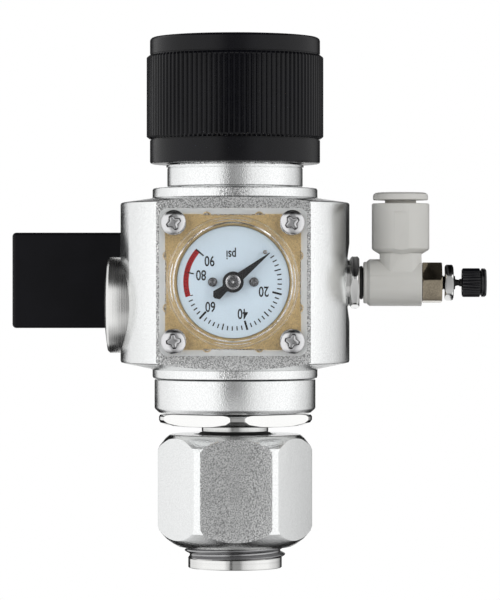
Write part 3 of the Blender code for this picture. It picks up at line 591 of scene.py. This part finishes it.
def make_cylinder_side():
    base, top = ends("inlet_stem", "+Z")
    grip_low, grip_high, grip_r, neck_r = base + 10.2, base + 12.7, 16.3, 6.6
    bore_r, bore_top, filter_r, filter_floor, flange_flats = 2.6, 30.0, 4.2, 36.0, 28.08
    sleeve_end = ends("nipple_sleeve", "+Z")[1] + 0.05
    section = [
        (bore_r, base), (9.1, base), (9.6, base + 0.5), (9.6, base + 3.3), (neck_r, base + 3.3),
        (neck_r, sleeve_end), (6.95, sleeve_end), (6.95, grip_low), (13.6, grip_low),
        (14.6, grip_low + 0.2), (15.8, grip_low + 0.7), (grip_r, grip_low + 1.3),
        (grip_r, grip_high - 0.5), (grip_r - 0.35, grip_high - 0.15), (grip_r - 0.9, grip_high),
        (8.0, grip_high), (8.0, top), (filter_r, top), (filter_r, filter_floor),
        (1.2, filter_floor), (1.2, bore_top), (bore_r, bore_top),
    ]
    sides = extrude(polygon(5, flange_flats, -123), 10, 50)
    stem = keep(solid(revolve(section, 192)), sides)
    piece(stem, "inlet_nipple", POLISHED, BODY, "inlet_stem", "polished_nickel", bevel=0.12, angle=24)

    base, top = ends("nipple_sleeve", "+Z")
    r = half("nipple_sleeve", 0)
    section = [(6.68, base), (r, base), (r, base + 3.6), (r - 0.1, base + 3.7), (r - 0.1, base + 3.9)]
    section += [(r, base + 4.0), (r, top - 0.1), (r - 0.1, top), (6.68, top)]
    turned_piece(section, "nipple_rubber_sleeve", RUBBER, BODY, "nipple_sleeve", "rubber")

    base, top = ends("inlet_nut", "+Z")
    r = ends("inlet_nut", "+X")[1]
    flats, thread_r, neck_r, thread_top = 28.6, 10.8, 7.3, 23.0
    section = [
        (thread_r, base + 0.5), (11.3, base + 0.05), (11.9, base + 0.15), (13.0, base + 0.75),
        (14.3, base + 1.7), (15.05, base + 2.5), (15.8, base + 3.4), (r, base + 4.4), (r, top - 3.3),
        (15.8, top - 2.5), (15.15, top - 1.7), (14.5, top - 0.85), (13.6, top - 0.1), (13.3, top),
        (8.6, top), (8.6, top - 1.0), (neck_r, top - 1.0), (neck_r, thread_top), (thread_r, thread_top),
    ]
    outline = rounded(polygon(6, flats, -88), 1.8)
    nut = keep(solid(revolve(section, 192)), extrude(outline, 0, 32))
    piece(nut, "union_nut", NICKEL, "nut", "inlet_nut", "satin_nickel", bevel=0.22, angle=14)
    second_finish(nut, EDGE_NICKEL, lambda normal, centre: 0.3 < normal.z < 0.97)
    second_finish(nut, FLAT_NICKEL, lambda normal, centre: normal.y < -0.99)

    base, top = ends("nipple_ring", "+Z")
    section = [(7.08, base), (8.15, base), (8.25, base + 0.15), (8.0, base + 0.4), (7.6, base + 0.75)]
    section += [(7.45, top - 0.1), (7.35, top), (7.08, top)]
    turned_piece(section, "nipple_dust_ring", RUBBER, "nut_slide", "nipple_ring", "rubber")

    shank_r, root, crest, pitch = 9.77, 9.45, half("cylinder_adapter", 0), 1.814
    adapter = solid(helix_rod(root, crest, pitch, 1.6, 11.0, FINE))
    shank = [(0, 0), (shank_r - 0.1, 0), (shank_r, 0.1), (shank_r, 2.1), (9.4, 2.5), (0, 2.5)]
    join(adapter, revolve(shank, FINE))
    join(adapter, revolve([(0, 10.4), (9.3, 10.4), (9.3, 16.4), (8.7, 17.0), (0, 17.0)], FINE))
    cut(adapter, rod(1.5, -1, 18))
    piece(adapter, "valve_thread", TURNED_Z, BODY, "cylinder_adapter", "steel")
    # Faces above the plain shank take the darker nickel: painted shade on the thread under the nut
    second_finish(adapter, THREAD_PAINTED_SHADE, lambda normal, centre: centre.z > 2.12 * MM)


# ---- screws


def cross_recess(r, low, high):
    """Four-armed recess of a cross-head screw; its walls lean in towards the floor."""
    shape = bmesh.new()
    arm, tip_half, inner = 0.62 * r, 0.155 * r, 0.26 * r
    quarter = [(arm * 0.93, -tip_half), (arm, -tip_half * 0.5), (arm, tip_half * 0.5)]
    quarter += [(arm * 0.93, tip_half), (inner, inner)]
    points = []
    for turn in range(4):
        points += turned_outline(quarter, math.pi / 2 * turn)
    under = [shape.verts.new((x * 0.8, y * 0.8, low)) for x, y in points]
    over = [shape.verts.new((x, y, high)) for x, y in points]
    tip = shape.verts.new((0, 0, low - 0.03 * r))
    shape.faces.new(over)
    for index in range(len(points)):
        after = (index + 1) % len(points)
        shape.faces.new((under[index], under[after], over[after], over[index]))
        shape.faces.new((under[after], under[index], tip))
    return shape


def make_screw(node, name, finish, axis, degrees, head_r, head_h, shank_r, slot="steel"):
    """Pan-head screw with a cross recess where its CAD node stands; axis is -X or -Y."""
    start, end = ends(node, axis)
    at = [middle(node, 0), middle(node, 1), middle(node, 2)]
    at["XY".index(axis[1])] = head_h - end
    length = end - start - head_h
    section = [(0, -length), (shank_r * 0.8, -length), (shank_r, -length + shank_r * 0.4), (shank_r, 0)]
    section += [(head_r * 0.96, 0), (head_r, head_h * 0.06), (head_r, head_h * 0.30)]
    for step in range(1, 9):
        angle = math.pi / 2 * step / 8
        reach = head_r * (0.22 + 0.78 * math.cos(angle))
        section.append((reach, head_h * (0.30 + 0.70 * math.sin(angle))))
    section.append((0, head_h))
    # The rod takes the near-black finish made as painted shade for the screw recesses
    screw = solid(revolve(section, MEDIUM), axis, at)
    recess = cross_recess(head_r, head_h * 0.42, head_h * 1.02)
    recess.transform(Matrix.Rotation(math.radians(degrees), 4, "Z"))
    cut(screw, recess, axis, at)
    piece(screw, name, finish, BODY, node, slot, bevel=head_r * 0.02, angle=40)
    outward, centre_line = (TURNS[axis] @ Vector((0, 0, 1))).normalized(), Vector(at) * MM

    def wall(normal, centre):
        away = centre - centre_line
        rise = away.dot(outward)
        return rise > 0.35 * head_h * MM and normal.dot(outward) < 0.7 and (
            (away - outward * rise).length < 0.64 * head_r * MM
        )

    # The recess walls take the near-black finish: painted shade inside the cross
    second_finish(screw, PAINTED_RECESS_SHADE, wall)


# ---- gauge

PSI_DEGREES, DOT_DEGREES, DOT_ROWS = 2.957, 4.2, (9.6, 9.95)
ARC_INNER, ARC_OUTER, OVER_RED = 9.1, 10.18, 0.012
SCALE_START, SCALE_END, RED_START = 2, 90, 70


def scale_angle(psi):
    """Angle of a reading, anticlockwise from +X as seen from the front."""
    return math.radians(-14.4 - (psi - 20) * PSI_DEGREES)


def make_dial():
    back, face = ends("gauge_dial", "-Y")
    r = half("gauge_dial", 0) + 0.12
    at = (0, 0, middle("gauge_dial", 2))
    dial = solid(rod(r, back, face, FINE), "-Y", at)
    cut(dial, rod(0.9, back - 1, face + 1, 24), "-Y", at)
    for node, hole in (("stop_pin", 0.42), ("dial_screw_1", 0.5), ("dial_screw_2", 0.5)):
        cut(dial, rod(hole, back - 1, face + 1, 24), "-Y", facing(node))
    piece(dial, "dial_plate", DIAL_PAINT, BODY, "gauge_dial", "dial_face", bevel=0.05)

    low, high = face + 0.004, face + 0.03
    marks = bmesh.new()

    def mark(psi, inner, outer, width, over):
        outline = rectangle(outer - inner, width, ((outer + inner) / 2, 0))
        add_prism(marks, turned_outline(outline, scale_angle(psi)), low, over)

    for psi in range(SCALE_START + 2, RED_START, 2):
        sizes = (8.7, 10.0, 0.26) if psi % 10 == 0 else (9.0, 9.9, 0.24)
        if psi % 20 == 0:
            sizes = (8.2, 10.15, 0.40)
        mark(psi, *sizes, high)
    for psi, *sizes in ((70, 8.65, 9.1, 0.2), (80, 8.2, 9.4, 0.27), (90, 8.05, 10.1, 0.32)):
        mark(psi, *sizes, high + OVER_RED)
    dots = int((SCALE_END - RED_START) * PSI_DEGREES / DOT_DEGREES)
    for step in range(1, dots):
        for dot_r in DOT_ROWS:
            dot = circle(0.1, 10, (dot_r, 0))
            angle = scale_angle(RED_START) - math.radians(DOT_DEGREES * step)
            add_prism(marks, turned_outline(dot, angle), low, high + OVER_RED)
    piece(solid(marks, "-Y", at), "dial_scale_marks", INK, slot="black_plastic")

    arc, count = bmesh.new(), 48
    red_span = SCALE_END - RED_START
    angles = [scale_angle(RED_START + red_span * step / count) for step in range(count + 1)]
    outline = [polar(ARC_OUTER, angle) for angle in angles]
    outline += [polar(ARC_INNER, angle) for angle in reversed(angles)]
    add_prism(arc, outline, low, high)
    piece(solid(arc, "-Y", at), "dial_red_arc", RED_INK, slot="black_plastic")

    lettering("psi", 1.95, (-0.43, 5.8), at, face)
    for psi, r in ((20, 6.5), (40, 6.78), (60, 6.9), (80, 6.7), (90, 6.44)):
        angle = scale_angle(psi) - (math.radians(3.2) if psi == 20 else 0)
        lettering(str(psi), 2.15, polar(r, angle), at, face)


def lettering(words, height, spot, at, face):
    """Figures on the dial; this gauge is mounted with its scale upside down."""
    size_for_height, narrowing, above_face = 1.36, 0.72, 0.016
    data = bpy.data.curves.new(f"text_{words}", "FONT")
    data.body = words
    data.align_x = "CENTER"
    data.align_y = "CENTER"
    data.size = height * size_for_height
    data.offset = 0.045
    data.extrude = 0.012
    data.resolution_u = 4
    text = add_object(f"text_{words}", data)
    mesh = final_mesh(text)
    bpy.data.objects.remove(text, do_unlink=True)
    xs = [vertex.co.x for vertex in mesh.vertices]
    ys = [vertex.co.y for vertex in mesh.vertices]
    centre = Matrix.Translation((-(min(xs) + max(xs)) / 2, -(min(ys) + max(ys)) / 2, 0))
    narrow = Matrix.Diagonal((narrowing, 1.0, 1.0, 1.0))
    upside_down = Matrix.Rotation(math.pi, 4, "Z")
    local = Matrix.Translation((*spot, face + above_face)) @ upside_down @ narrow @ centre
    mesh.transform(Matrix.Translation(Vector(at) * MM) @ TURNS["-Y"] @ Matrix.Scale(MM, 4) @ local)
    piece(add_object("figure", mesh), f"dial_figure_{words}", INK, slot="black_plastic")


def make_gauge():
    at = (0, 0, middle("gauge_dial", 2))
    front, side = ends("gauge_base", "-Y")[1], 2 * half("gauge_base", 0)
    back = front - 2.05
    square = rounded(rectangle(side, side), 1.2)
    base = solid(extrude(square, back, front), "-Y", at)
    slot_length, slot_width, slot_reach = 12.8, 2.0, 14.55
    for x, z in ((0, 1), (0, -1), (1, 0), (-1, 0)):
        sides = (slot_length, slot_width) if z else (slot_width, slot_length)
        window = rectangle(*sides, (x * slot_reach, z * slot_reach))
        cut(base, extrude(window, back - 1, front + 1), "-Y", at)
    join(base, rod(12.9, 10.9, 19.0, FINE), "-Y", at)
    rim = [(0, 11.9), (11.55, 11.9), (11.55, 19.4), (12.3, front + 0.01), (12.3, 22), (0, 22)]
    cut(base, revolve(rim, FINE), "-Y", at)
    cut(base, rod(2.1, 9, 13), "-Y", at)
    screw_hole_r = 1.35
    for screw in COVER_SCREWS:
        cut(base, rod(screw_hole_r, 17, 21, 24), "-Y", facing(screw))
    piece(base, "gauge_back_plate", PLATE, BODY, "gauge_base", "brass", bevel=0.12)

    back, front = ends("gauge_cover", "-Y")
    side = 2 * half("gauge_cover", 0)
    rim_y, step_y = back + 1.35, back + 1.9
    square = rounded(rectangle(side, side), 1.7, 12)
    cover = solid(extrude(square, back, rim_y), "-Y", at)
    plateau = rounded(rectangle(27.5, 27.5), 1.2, 8)
    join(cover, extrude(plateau, rim_y - 0.4, step_y), "-Y", at)
    for x, z in [(a * 5.3, b * 13.35) for a in (-1, 1) for b in (-1, 1)]:
        for u, v in ((x, z), (z, x)):
            peg = [(0, rim_y - 0.4), (0.95, rim_y - 0.4), (0.95, step_y + 0.1), (0.7, step_y + 0.4)]
            join(cover, revolve(peg + [(0, step_y + 0.5)], 28), "-Y", (u, 0, at[2] + v))
    raised = [(0, step_y - 0.4), (13.55, step_y - 0.4), (13.5, front - 0.9), (13.2, front - 0.45)]
    raised += [(13.0, front - 0.1), (12.75, front), (12.55, front - 0.25), (12.1, front - 0.4)]
    raised += [(11.9, front - 0.5), (0, front - 0.5)]
    join(cover, revolve(raised, 192), "-Y", at)
    inside = [(0, back - 1), (12.4, back - 1), (12.4, front - 2.1), (12.0, front - 1.6), (0, front - 1.6)]
    cut(cover, revolve(inside, 192), "-Y", at)
    for screw in COVER_SCREWS:
        cut(cover, rod(screw_hole_r, 19, 24, 24), "-Y", facing(screw))
    piece(cover, "clear_gauge_cover", CLEAR, BODY, "gauge_cover", "clear_plastic", bevel=0.12)
    cover.data.set_sharp_from_angle(angle=math.radians(7))
    cover.visible_shadow = False
    border_y = -(step_y - 0.3) * MM
    second_finish(cover, FROSTED, lambda normal, centre: normal.y < -0.9 and centre.y > border_y)

    sizes = {"head_r": 2.6, "head_h": 1.6, "shank_r": 1.1}
    for number, turn in enumerate((8, 24, -14, 31), 1):
        make_screw(f"cover_screw_{number}", f"gauge_screw_{number}", BRIGHT, "-Y", turn, **sizes)
    sizes = {"head_r": 0.95, "head_h": 0.55, "shank_r": 0.4, "slot": "brass"}
    for number, turn in enumerate((40, 15), 1):
        names = f"dial_screw_{number}", f"dial_plate_screw_{number}"
        make_screw(*names, DARK_STEEL, "-Y", turn, **sizes)
    make_dial()
    make_pointer(at)

    foot, tip = ends("stop_pin", "-Y")
    pin = [(0, foot), (0.35, foot), (0.35, tip - 0.12), (0.24, tip), (0, tip)]
    pin = solid(revolve(pin, 32), "-Y", facing("stop_pin"))
    piece(pin, "pointer_stop", BRIGHT, BODY, "stop_pin", "steel")


def make_pointer(at):
    back, front = ends("pointer", "-Y")
    rest, hub_r = math.radians(38.5), 2.15
    blade = [(9.5, -0.09), (9.5, 0.09)]
    blade += [polar(hub_r, math.radians(degrees)) for degrees in range(24, 157, 6)]
    blade += [(-2.3, 0.75), (-4.3, 1.08), (-5.0, 0.25), (-5.0, -0.25), (-4.3, -1.08), (-2.3, -0.75)]
    blade += [polar(hub_r, math.radians(degrees)) for degrees in range(204, 337, 6)]
    pointer = solid(extrude(turned_outline(blade, rest), back, front), "-Y", at)
    cut(pointer, rod(0.62, back - 1, front + 1, 24), "-Y", at)
    piece(pointer, "pointer_blade", POINTER_BLACK, "pointer_body", "pointer", "black_plastic", bevel=0.06)

    back, front = ends("pointer_arbor", "-Y")
    section = [(0, back), (0.55, back), (0.55, front - 0.7), (1.5, front - 0.7), (1.5, front - 0.15)]
    section += [(1.4, front - 0.1), (1.14, front - 0.35), (0.84, front - 0.35), (0.8, front - 0.25)]
    section += [(0.74, front - 0.35), (0.34, front - 0.35), (0.3, front), (0.12, front), (0, front - 0.06)]
    arbor = solid(revolve(section, MEDIUM), "-Y", at)
    teeth, module = 10, 0.2
    root_r, tip_r = module * teeth / 2 - 0.23, module * teeth / 2 + 0.17
    outline = []
    for tooth in range(teeth):
        for part, r in ((-0.27, root_r), (-0.09, tip_r), (0.09, tip_r), (0.27, root_r)):
            outline.append(polar(r, -math.pi / 2 + 2 * math.pi * (tooth + part) / teeth))
    join(arbor, extrude(outline, back + 0.25, back + 1.25), "-Y", at)
    piece(arbor, "pointer_boss", BRIGHT, "pointer_body", "pointer_arbor", "steel")
    # The cup floor round the arbor's pin takes the dark steel: painted shade in the recess
    floor_y = -(front - 0.3) * MM
    reach = 1.2 * MM
    second_finish(
        arbor, DARK_STEEL, lambda normal, centre: normal.y < -0.9 and centre.y > floor_y
        and math.hypot(centre.x, centre.z - at[2] * MM) < reach,
    )


# ---- side port plug


def make_plug():
    root, end = ends("port_plug", "-X")
    r = half("port_plug", 2)
    at = (0, 0, middle("port_plug", 2))
    section = [(0, root), (4.5, root), (4.8, root + 0.4), (4.8, root + 7.5), (r, root + 7.5)]
    section += [(r, end - 1.25), (r - 0.08, end - 1.1), (r - 0.45, end - 0.75)]
    for step in range(9):
        part = step / 8
        reach = (r - 0.45) * (1 - part) + 3.6 * part
        section.append((reach, end - 0.72 * (reach / (r - 0.45)) ** 2.2))
    section += [(3.4, end - 0.05), (0, end - 0.05)]
    plug = solid(revolve(section, FINE), "-X", at)
    cut(plug, extrude(polygon(6, 5.0), end - 3.6, end + 3), "-X", at)
    piece(plug, "domed_port_plug", TURNED_X, BODY, "port_plug", "satin_nickel", bevel=0.08)


# ---- outlet


def make_outlet():
    at = (0, 0, middle("outlet_adapter", 2))
    start = ends("outlet_adapter", "+X")[0]
    steps = [(1.1, 0), (3.7, 0), (4.0, 0.4), (4.0, 7.9), (4.85, 7.9), (5.0, 8.05), (5.0, 8.85)]
    steps += [(4.8, 8.95), (4.95, 9.0), (5.72, 9.5), (5.75, 9.7), (5.75, 10.35), (5.6, 10.55)]
    steps += [(5.0, 10.94), (2.85, 10.94), (2.85, 13.6), (2.3, 13.6), (2.3, 14.6), (2.85, 14.6)]
    steps += [(2.85, 16.3), (1.1, 16.3)]
    section = [(r, start + distance) for r, distance in steps]
    hexagon = polygon(6, 10.2, -10)
    adapter = hexed(section, hexagon, 10, 40, at)
    names = "outlet_hexagon", POLISHED, BODY, "outlet_adapter", "polished_nickel"
    piece(adapter, *names, bevel=0.1, angle=24)

    centre, wire = middle("outlet_ring", 0), half("outlet_ring", 0)
    ring_r = half("outlet_ring", 2)
    ring = circle(wire, 16, (ring_r - wire, centre))
    piece(solid(revolve(ring, FINE), "+X", at), "outlet_seal_ring", RUBBER, BODY, "outlet_ring", "rubber")
    make_elbow(at)
    make_needle(at)


def make_elbow(at):
    left, far_side = ends("elbow_body", "+X")
    right, riser_x = left + 12.1, far_side - 6.0
    socket_top = ends("elbow_body", "+Z")[1]
    barrel = [
        (0, left), (4.15, left), (4.35, left + 0.2), (4.35, left + 0.7), (4.5, left + 0.8),
        (4.9, left + 1.3), (4.9, right - 0.1), (4.8, right), (0, right),
    ]
    elbow = solid(revolve(barrel, FINE), "+X", at)
    up = (riser_x, 0, 0)
    riser = [
        (0, at[2]), (4.3, at[2]), (4.3, socket_top - 10.75), (4.42, socket_top - 10.55),
        (5.75, socket_top - 9.75), (6.0, socket_top - 9.4), (6.0, socket_top - 0.25), (5.8, socket_top),
        (0, socket_top),
    ]
    join(elbow, revolve(riser, FINE), "+Z", up)
    boss = solid(rod(4.9, at[2], socket_top - 10.4, FINE), "+Z", up)
    keep(boss, extrude(rectangle(8.6, 9.28, (riser_x, 0.26)), at[2] - 5, socket_top))
    carve(elbow, "UNION", boss)
    pad = extrude(rectangle(3.2, 8.2, (0.2, socket_top - 5.9)), 5.8, 7.0)
    cut(elbow, pad, "-Y", up)
    cut(elbow, revolve([(0, left - 5), (3.15, left - 5), (3.15, 45), (0, 45)], SMALL), "+X", at)
    bore = [(0, at[2]), (1.4, at[2]), (1.4, 66.6), (2.15, 66.6), (2.15, 70.0), (4.9, 70.0)]
    bore += [(4.9, 77), (0, 77)]
    cut(elbow, revolve(bore, MEDIUM), "+Z", up)
    piece(elbow, "swivel_elbow", WHITE, "elbow", "elbow_body", "white_plastic", bevel=0.14, angle=30)

    foot, top = ends("release_collar", "+Z")
    r = half("release_collar", 0)
    section = [
        (2.15, foot), (3.25, foot), (3.25, top - 1.6), (r - 0.15, top - 1.6), (r, top - 1.45),
        (r, top - 0.75), (r - 0.12, top - 0.4), (r - 0.5, top - 0.1), (r - 1.0, top), (3.1, top),
        (2.5, top - 0.25), (2.15, top - 0.7),
    ]
    button = solid(revolve(section, FINE), "+Z", up)
    piece(button, "release_button", WHITE, "collar", "release_collar", "white_plastic")


def make_needle(at):
    start, end = ends("valve_core", "+X")
    section = [
        (1.65, start), (2.9, start), (2.9, start + 3.05), (4.3, start + 3.05), (4.6, start + 3.25),
        (4.6, end - 0.3), (4.2, end), (2.3, end), (2.2, end - 0.1), (1.65, end - 0.1),
    ]
    outline = rounded(polygon(6, 8.0, -6), 0.25, 3)
    core = hexed(section, outline, 30, 50, at)
    piece(core, "needle_valve_hexagon", HEXED, "elbow", "valve_core", "dark_brass", bevel=0.07, angle=24)

    start, end = ends("needle_locknut", "+X")
    section = [(1.65, start), (3.2, start), (3.6, start + 0.15), (3.8, start + 0.45), (3.8, end - 0.45)]
    section += [(3.6, end - 0.15), (3.2, end), (1.65, end)]
    hexagon = rounded(polygon(6, 6.7, -21), 0.2, 3)
    nut = hexed(section, hexagon, 40, 50, at)
    names = "small_lock_nut", POLISHED, "lock", "needle_locknut", "polished_nickel"
    piece(nut, *names, bevel=0.08, angle=24)

    start, end = ends("needle_stem", "+X")
    crest_r, root_r, groove_r, pitch = 1.46, 1.28, 0.62, 0.5
    section = [(0, start), (0.3, start), (1.0, start + 2.4), (crest_r, start + 3.0)]
    for turn in range(int((end - 4.3 - start - 3.2) / pitch)):
        z = start + 3.2 + turn * pitch
        section += [(crest_r, z), (crest_r, z + 0.12), (root_r, z + 0.25), (crest_r, z + 0.38)]
    section += [(1.4, end - 4.1), (0.8, end - 4.08), (groove_r, end - 3.7), (groove_r, end - 3.3)]
    section += [(0.8, end - 3.1), (0.85, end), (0, end)]
    stem = solid(revolve(section, SMALL), "+X", at)
    piece(stem, "needle_rod", PAINTED_RECESS_SHADE, "needle", "needle_stem", "steel")

    start, end = ends("needle_knob", "+X")
    r = 3.0
    section = [
        (0.95, start), (2.65, start), (r - 0.1, start + 0.15), (r, start + 0.3), (r, start + 3.65),
        (r - 0.12, start + 3.75), (r - 0.35, start + 3.8), (r - 0.35, start + 4.0),
        (r - 0.1, start + 4.08), (r, start + 4.2), (r, end - 0.35), (r - 0.35, end), (2.3, end),
        (2.2, end - 0.08), (0, end - 0.08), (0, start + 2.9), (0.95, start + 2.9),
    ]
    rib_count, pattern = 30, (0.0, 0.35, 0.8, 1.0, 0.8, 0.35)
    grip = revolve(section, rib_count * len(pattern), ribs(pattern, 0.24, (3, 4)))
    grip = solid(grip, "+X", at)
    piece(grip, "needle_hand_knob", GRIP_BLACK, "needle_grip", "needle_knob", "black_plastic", angle=40)


# ---- solenoid


def make_solenoid():
    y, z = middle("coil_housing", 1), middle("coil_housing", 2)
    at = (0, y, z)
    right, left = ends("coil_housing", "-X")
    side = 2 * half("coil_housing", 1)
    coil = solid(extrude(rectangle(side, side), right, left), "-X", at)
    rounding = coil.modifiers.new("rounding", "BEVEL")
    rounding.width = 0.85 * MM
    rounding.segments = 6
    settle(coil)
    well = [(0, right - 8), (4.8, right - 8), (4.8, 44.9), (1.9, 44.9), (1.9, 45.6), (3.6, 45.6)]
    well += [(3.9, 50), (0, 50)]
    cut(coil, revolve(well, MEDIUM), "-X", at)
    gland_x = middle("cable_gland", 0)
    cut(coil, rod(1.7, 6.0, 12.0, 24), "+Y", (gland_x, y, z))
    piece(coil, "coil_moulding", COIL_BLACK, BODY, "coil_housing", "black_plastic", angle=50)

    front, back = 24.25, ends("solenoid_block", "+Y")[1]
    block_at = (middle("solenoid_block", 0), 0, z)
    block = solid(extrude(rounded(rectangle(24, 19), 1.5), front, back), "+Y", block_at)
    join(block, rod(4.8, 16.0, 25.0, SMALL), "+Y", (0, 0, z))
    cut(block, rod(1.3, 10.0, y, 24), "+Y", (0, 0, z))
    chamber = [(0, -3), (1.2, -3), (1.2, 12.8), (4.8, 12.8), (4.8, 20), (0, 20)]
    cut(block, revolve(chamber, SMALL), "-X", at)
    piece(block, "valve_block", NICKEL, BODY, "solenoid_block", "satin_nickel", bevel=0.4)

    sizes = {"head_r": 3.25, "head_h": 1.9, "shank_r": 1.4}
    make_screw("coil_screw", "coil_fixing_screw", STEEL, "-X", math.degrees(0.3), **sizes)
    foot, tip = [end - y for end in ends("cable_gland", "+Y")]
    section = [(1.1, foot), (3.0, foot), (3.0, foot + 1.0), (2.6, foot + 1.15), (2.5, foot + 1.5)]
    section += [(2.65, foot + 1.6), (2.4, foot + 2.1), (2.3, foot + 2.5), (2.15, tip), (1.1, tip)]
    gland = solid(revolve(section, MEDIUM), "+Y", (gland_x, y, z))
    piece(gland, "lead_gland", RUBBER, BODY, "cable_gland", "rubber")


# ---- CAD pieces that stay

KEPT = (
    (STEEL, ("adjusting_screw", "screw_clip", "knob_screw", "main_spring", "poppet_spring")),
    (STEEL, ("plunger_spring", "solenoid_tube", "solenoid_plunger", "tube_gripper")),
    (BRASS, ("sintered_filter", "poppet", "piston", "spring_button", "thrust_washer")),
    (BRASS, ("gauge_socket", "bourdon_tube", "movement_frame", "sector_gear", "socket_bush")),
    (RUBBER, ("inlet_seal_ring", "piston_ring", "swivel_ring", "tube_seal")),
    (WHITE, ("inlet_washer", "valve_seat")),
)


def finish_kept_pieces():
    for finish, nodes in KEPT:
        for node in nodes:
            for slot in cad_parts[node].material_slots:
                slot.material = finish


# ---- studio

CAMERA_DISTANCE, CAMERA_AZIMUTH = 0.731, math.radians(0.8)
EYE_HEIGHT, SIDE_STEP = 0.0589, 0.00313
FLOOR_DROP, FLOOR_SIDE = 0.16, 1.3


def make_camera():
    data = bpy.data.cameras.new("camera")
    data.sensor_width = 36.0
    data.lens = 210.0
    data.shift_y = -0.025
    camera = add_object("camera", data)
    away = Vector((math.sin(CAMERA_AZIMUTH), -math.cos(CAMERA_AZIMUTH), 0))
    right = Vector((math.cos(CAMERA_AZIMUTH), math.sin(CAMERA_AZIMUTH), 0))
    camera.location = away * CAMERA_DISTANCE + right * SIDE_STEP + Vector((0, 0, EYE_HEIGHT))
    camera.rotation_euler = (math.pi / 2, 0, CAMERA_AZIMUTH)
    bpy.context.scene.camera = camera


def make_world():
    """A white tent: bright side walls, a grey wall round the camera, dark gaps beside the backdrop."""
    world = bpy.data.worlds.new("tent")
    bpy.context.scene.world = world
    world.use_nodes = True
    nodes, links = world.node_tree.nodes, world.node_tree.links
    background = nodes["Background"]
    place = nodes.new("ShaderNodeTexCoord").outputs["Generated"]
    split = nodes.new("ShaderNodeSeparateXYZ")
    links.new(place, split.inputs["Vector"])

    def math_node(operation, *values):
        node = nodes.new("ShaderNodeMath")
        node.operation = operation
        for socket, value in zip(node.inputs, values):
            feed(links, socket, value)
        return node.outputs["Value"]

    turned = math_node("ARCTAN2", split.outputs["X"], math_node("MULTIPLY", split.outputs["Y"], -1.0))
    round_part = math_node("ADD", math_node("DIVIDE", turned, 2 * math.pi), 0.5)
    climb = math_node("DIVIDE", math_node("ARCSINE", split.outputs["Z"]), math.pi / 2)
    height_part = math_node("ADD", math_node("MULTIPLY", climb, 0.5), 0.5)

    def ramp(value, span, levels):
        """A smooth ramp through (degrees, level) stops; span is the whole range of degrees."""
        node = nodes.new("ShaderNodeValToRGB")
        node.color_ramp.interpolation = "EASE"
        elements = node.color_ramp.elements
        while len(elements) < len(levels):
            elements.new(0.5)
        for element, (degrees, level) in zip(elements, levels):
            element.position = degrees / span + 0.5
            element.color = (level, level, level, 1.0)
        links.new(value, node.inputs["Fac"])
        return node.outputs["Color"]

    left = ((-180, 0.8), (-173.6, 0.8), (-172, 0.01), (-147, 0.01), (-141, 0.8), (-128, 0.79))
    left += ((-116, 0.84), (-97, 0.93), (-80, 1.0), (-28, 1.0))
    right = ((-11, 0.5), (14, 0.5), (25, 0.73), (35, 0.86), (47, 0.91), (60, 1.0), (89, 1.0))
    right += ((100, 0.86), (111, 0.76), (118, 0.71), (127, 0.59), (137, 0.42), (149, 0.16))
    right += ((155, 0.01), (173.5, 0.01), (175, 0.8))
    around = ramp(round_part, 360, left + right + ((180, 0.8),))
    front = ((-13, 1.0), (-11, 0.18), (-6.5, 0.18), (-5, 0.62), (13.5, 0.62), (19, 1.0))
    strip = ramp(round_part, 360, front)
    lift = ramp(height_part, 180, ((-22, 0.0), (-14, 1.0)))

    def blend(kind, factor, first, second):
        node = nodes.new("ShaderNodeMix")
        node.data_type = "RGBA"
        node.blend_type = kind
        for index, value in zip((0, 6, 7), (factor, first, second)):
            feed(links, node.inputs[index], value)
        return node.outputs[2]

    walls = blend("MULTIPLY", 1.0, around, blend("MIX", lift, (1.0, 1.0, 1.0, 1.0), strip))
    heights = ((-90, 0.06), (-76, 0.08), (-64, 0.5), (-36, 1.0), (34, 1.0), (52, 0.04), (76, 0.04))
    heights += ((90, 0.2),)
    ceiling = ramp(height_part, 180, heights)
    links.new(blend("MULTIPLY", 1.0, walls, ceiling), background.inputs["Color"])
    background.inputs["Strength"].default_value = 1.25


def make_floor():
    floor_z = -FLOOR_DROP / MM
    half_side = FLOOR_SIDE / MM
    shape = extrude(rectangle(half_side, half_side), floor_z - 4, floor_z)
    floor = solid(shape)
    floor.name = "studio_floor"
    paper = Finish("pale_paper", (0.88, 0.88, 0.88), 0.0, 0.8)
    floor.data.materials.append(paper.made)
    floor.visible_glossy = False


def make_lights():
    """Two large soft lights for the matt surfaces; the metal mirrors only the tent."""
    for name, x, power in (("left_softbox", -0.5, 1.6), ("right_softbox", 0.6, 2.2)):
        data = bpy.data.lights.new(name, "AREA")
        data.shape = "RECTANGLE"
        data.size = data.size_y = 0.8
        data.energy = power
        light = add_object(name, data)
        light.location = (x, -0.7, 0.35)
        aim = Vector((0, 0, 0.06)) - light.location
        light.rotation_euler = aim.to_track_quat("-Z", "Y").to_euler()
        light.visible_glossy = False


make_camera()
make_world()
make_floor()
make_lights()
make_knob()
make_bonnet()
make_body()
make_cylinder_side()
make_gauge()
make_plug()
make_outlet()
make_solenoid()
finish_kept_pieces()

bpy.context.scene.view_settings.view_transform = "Standard"
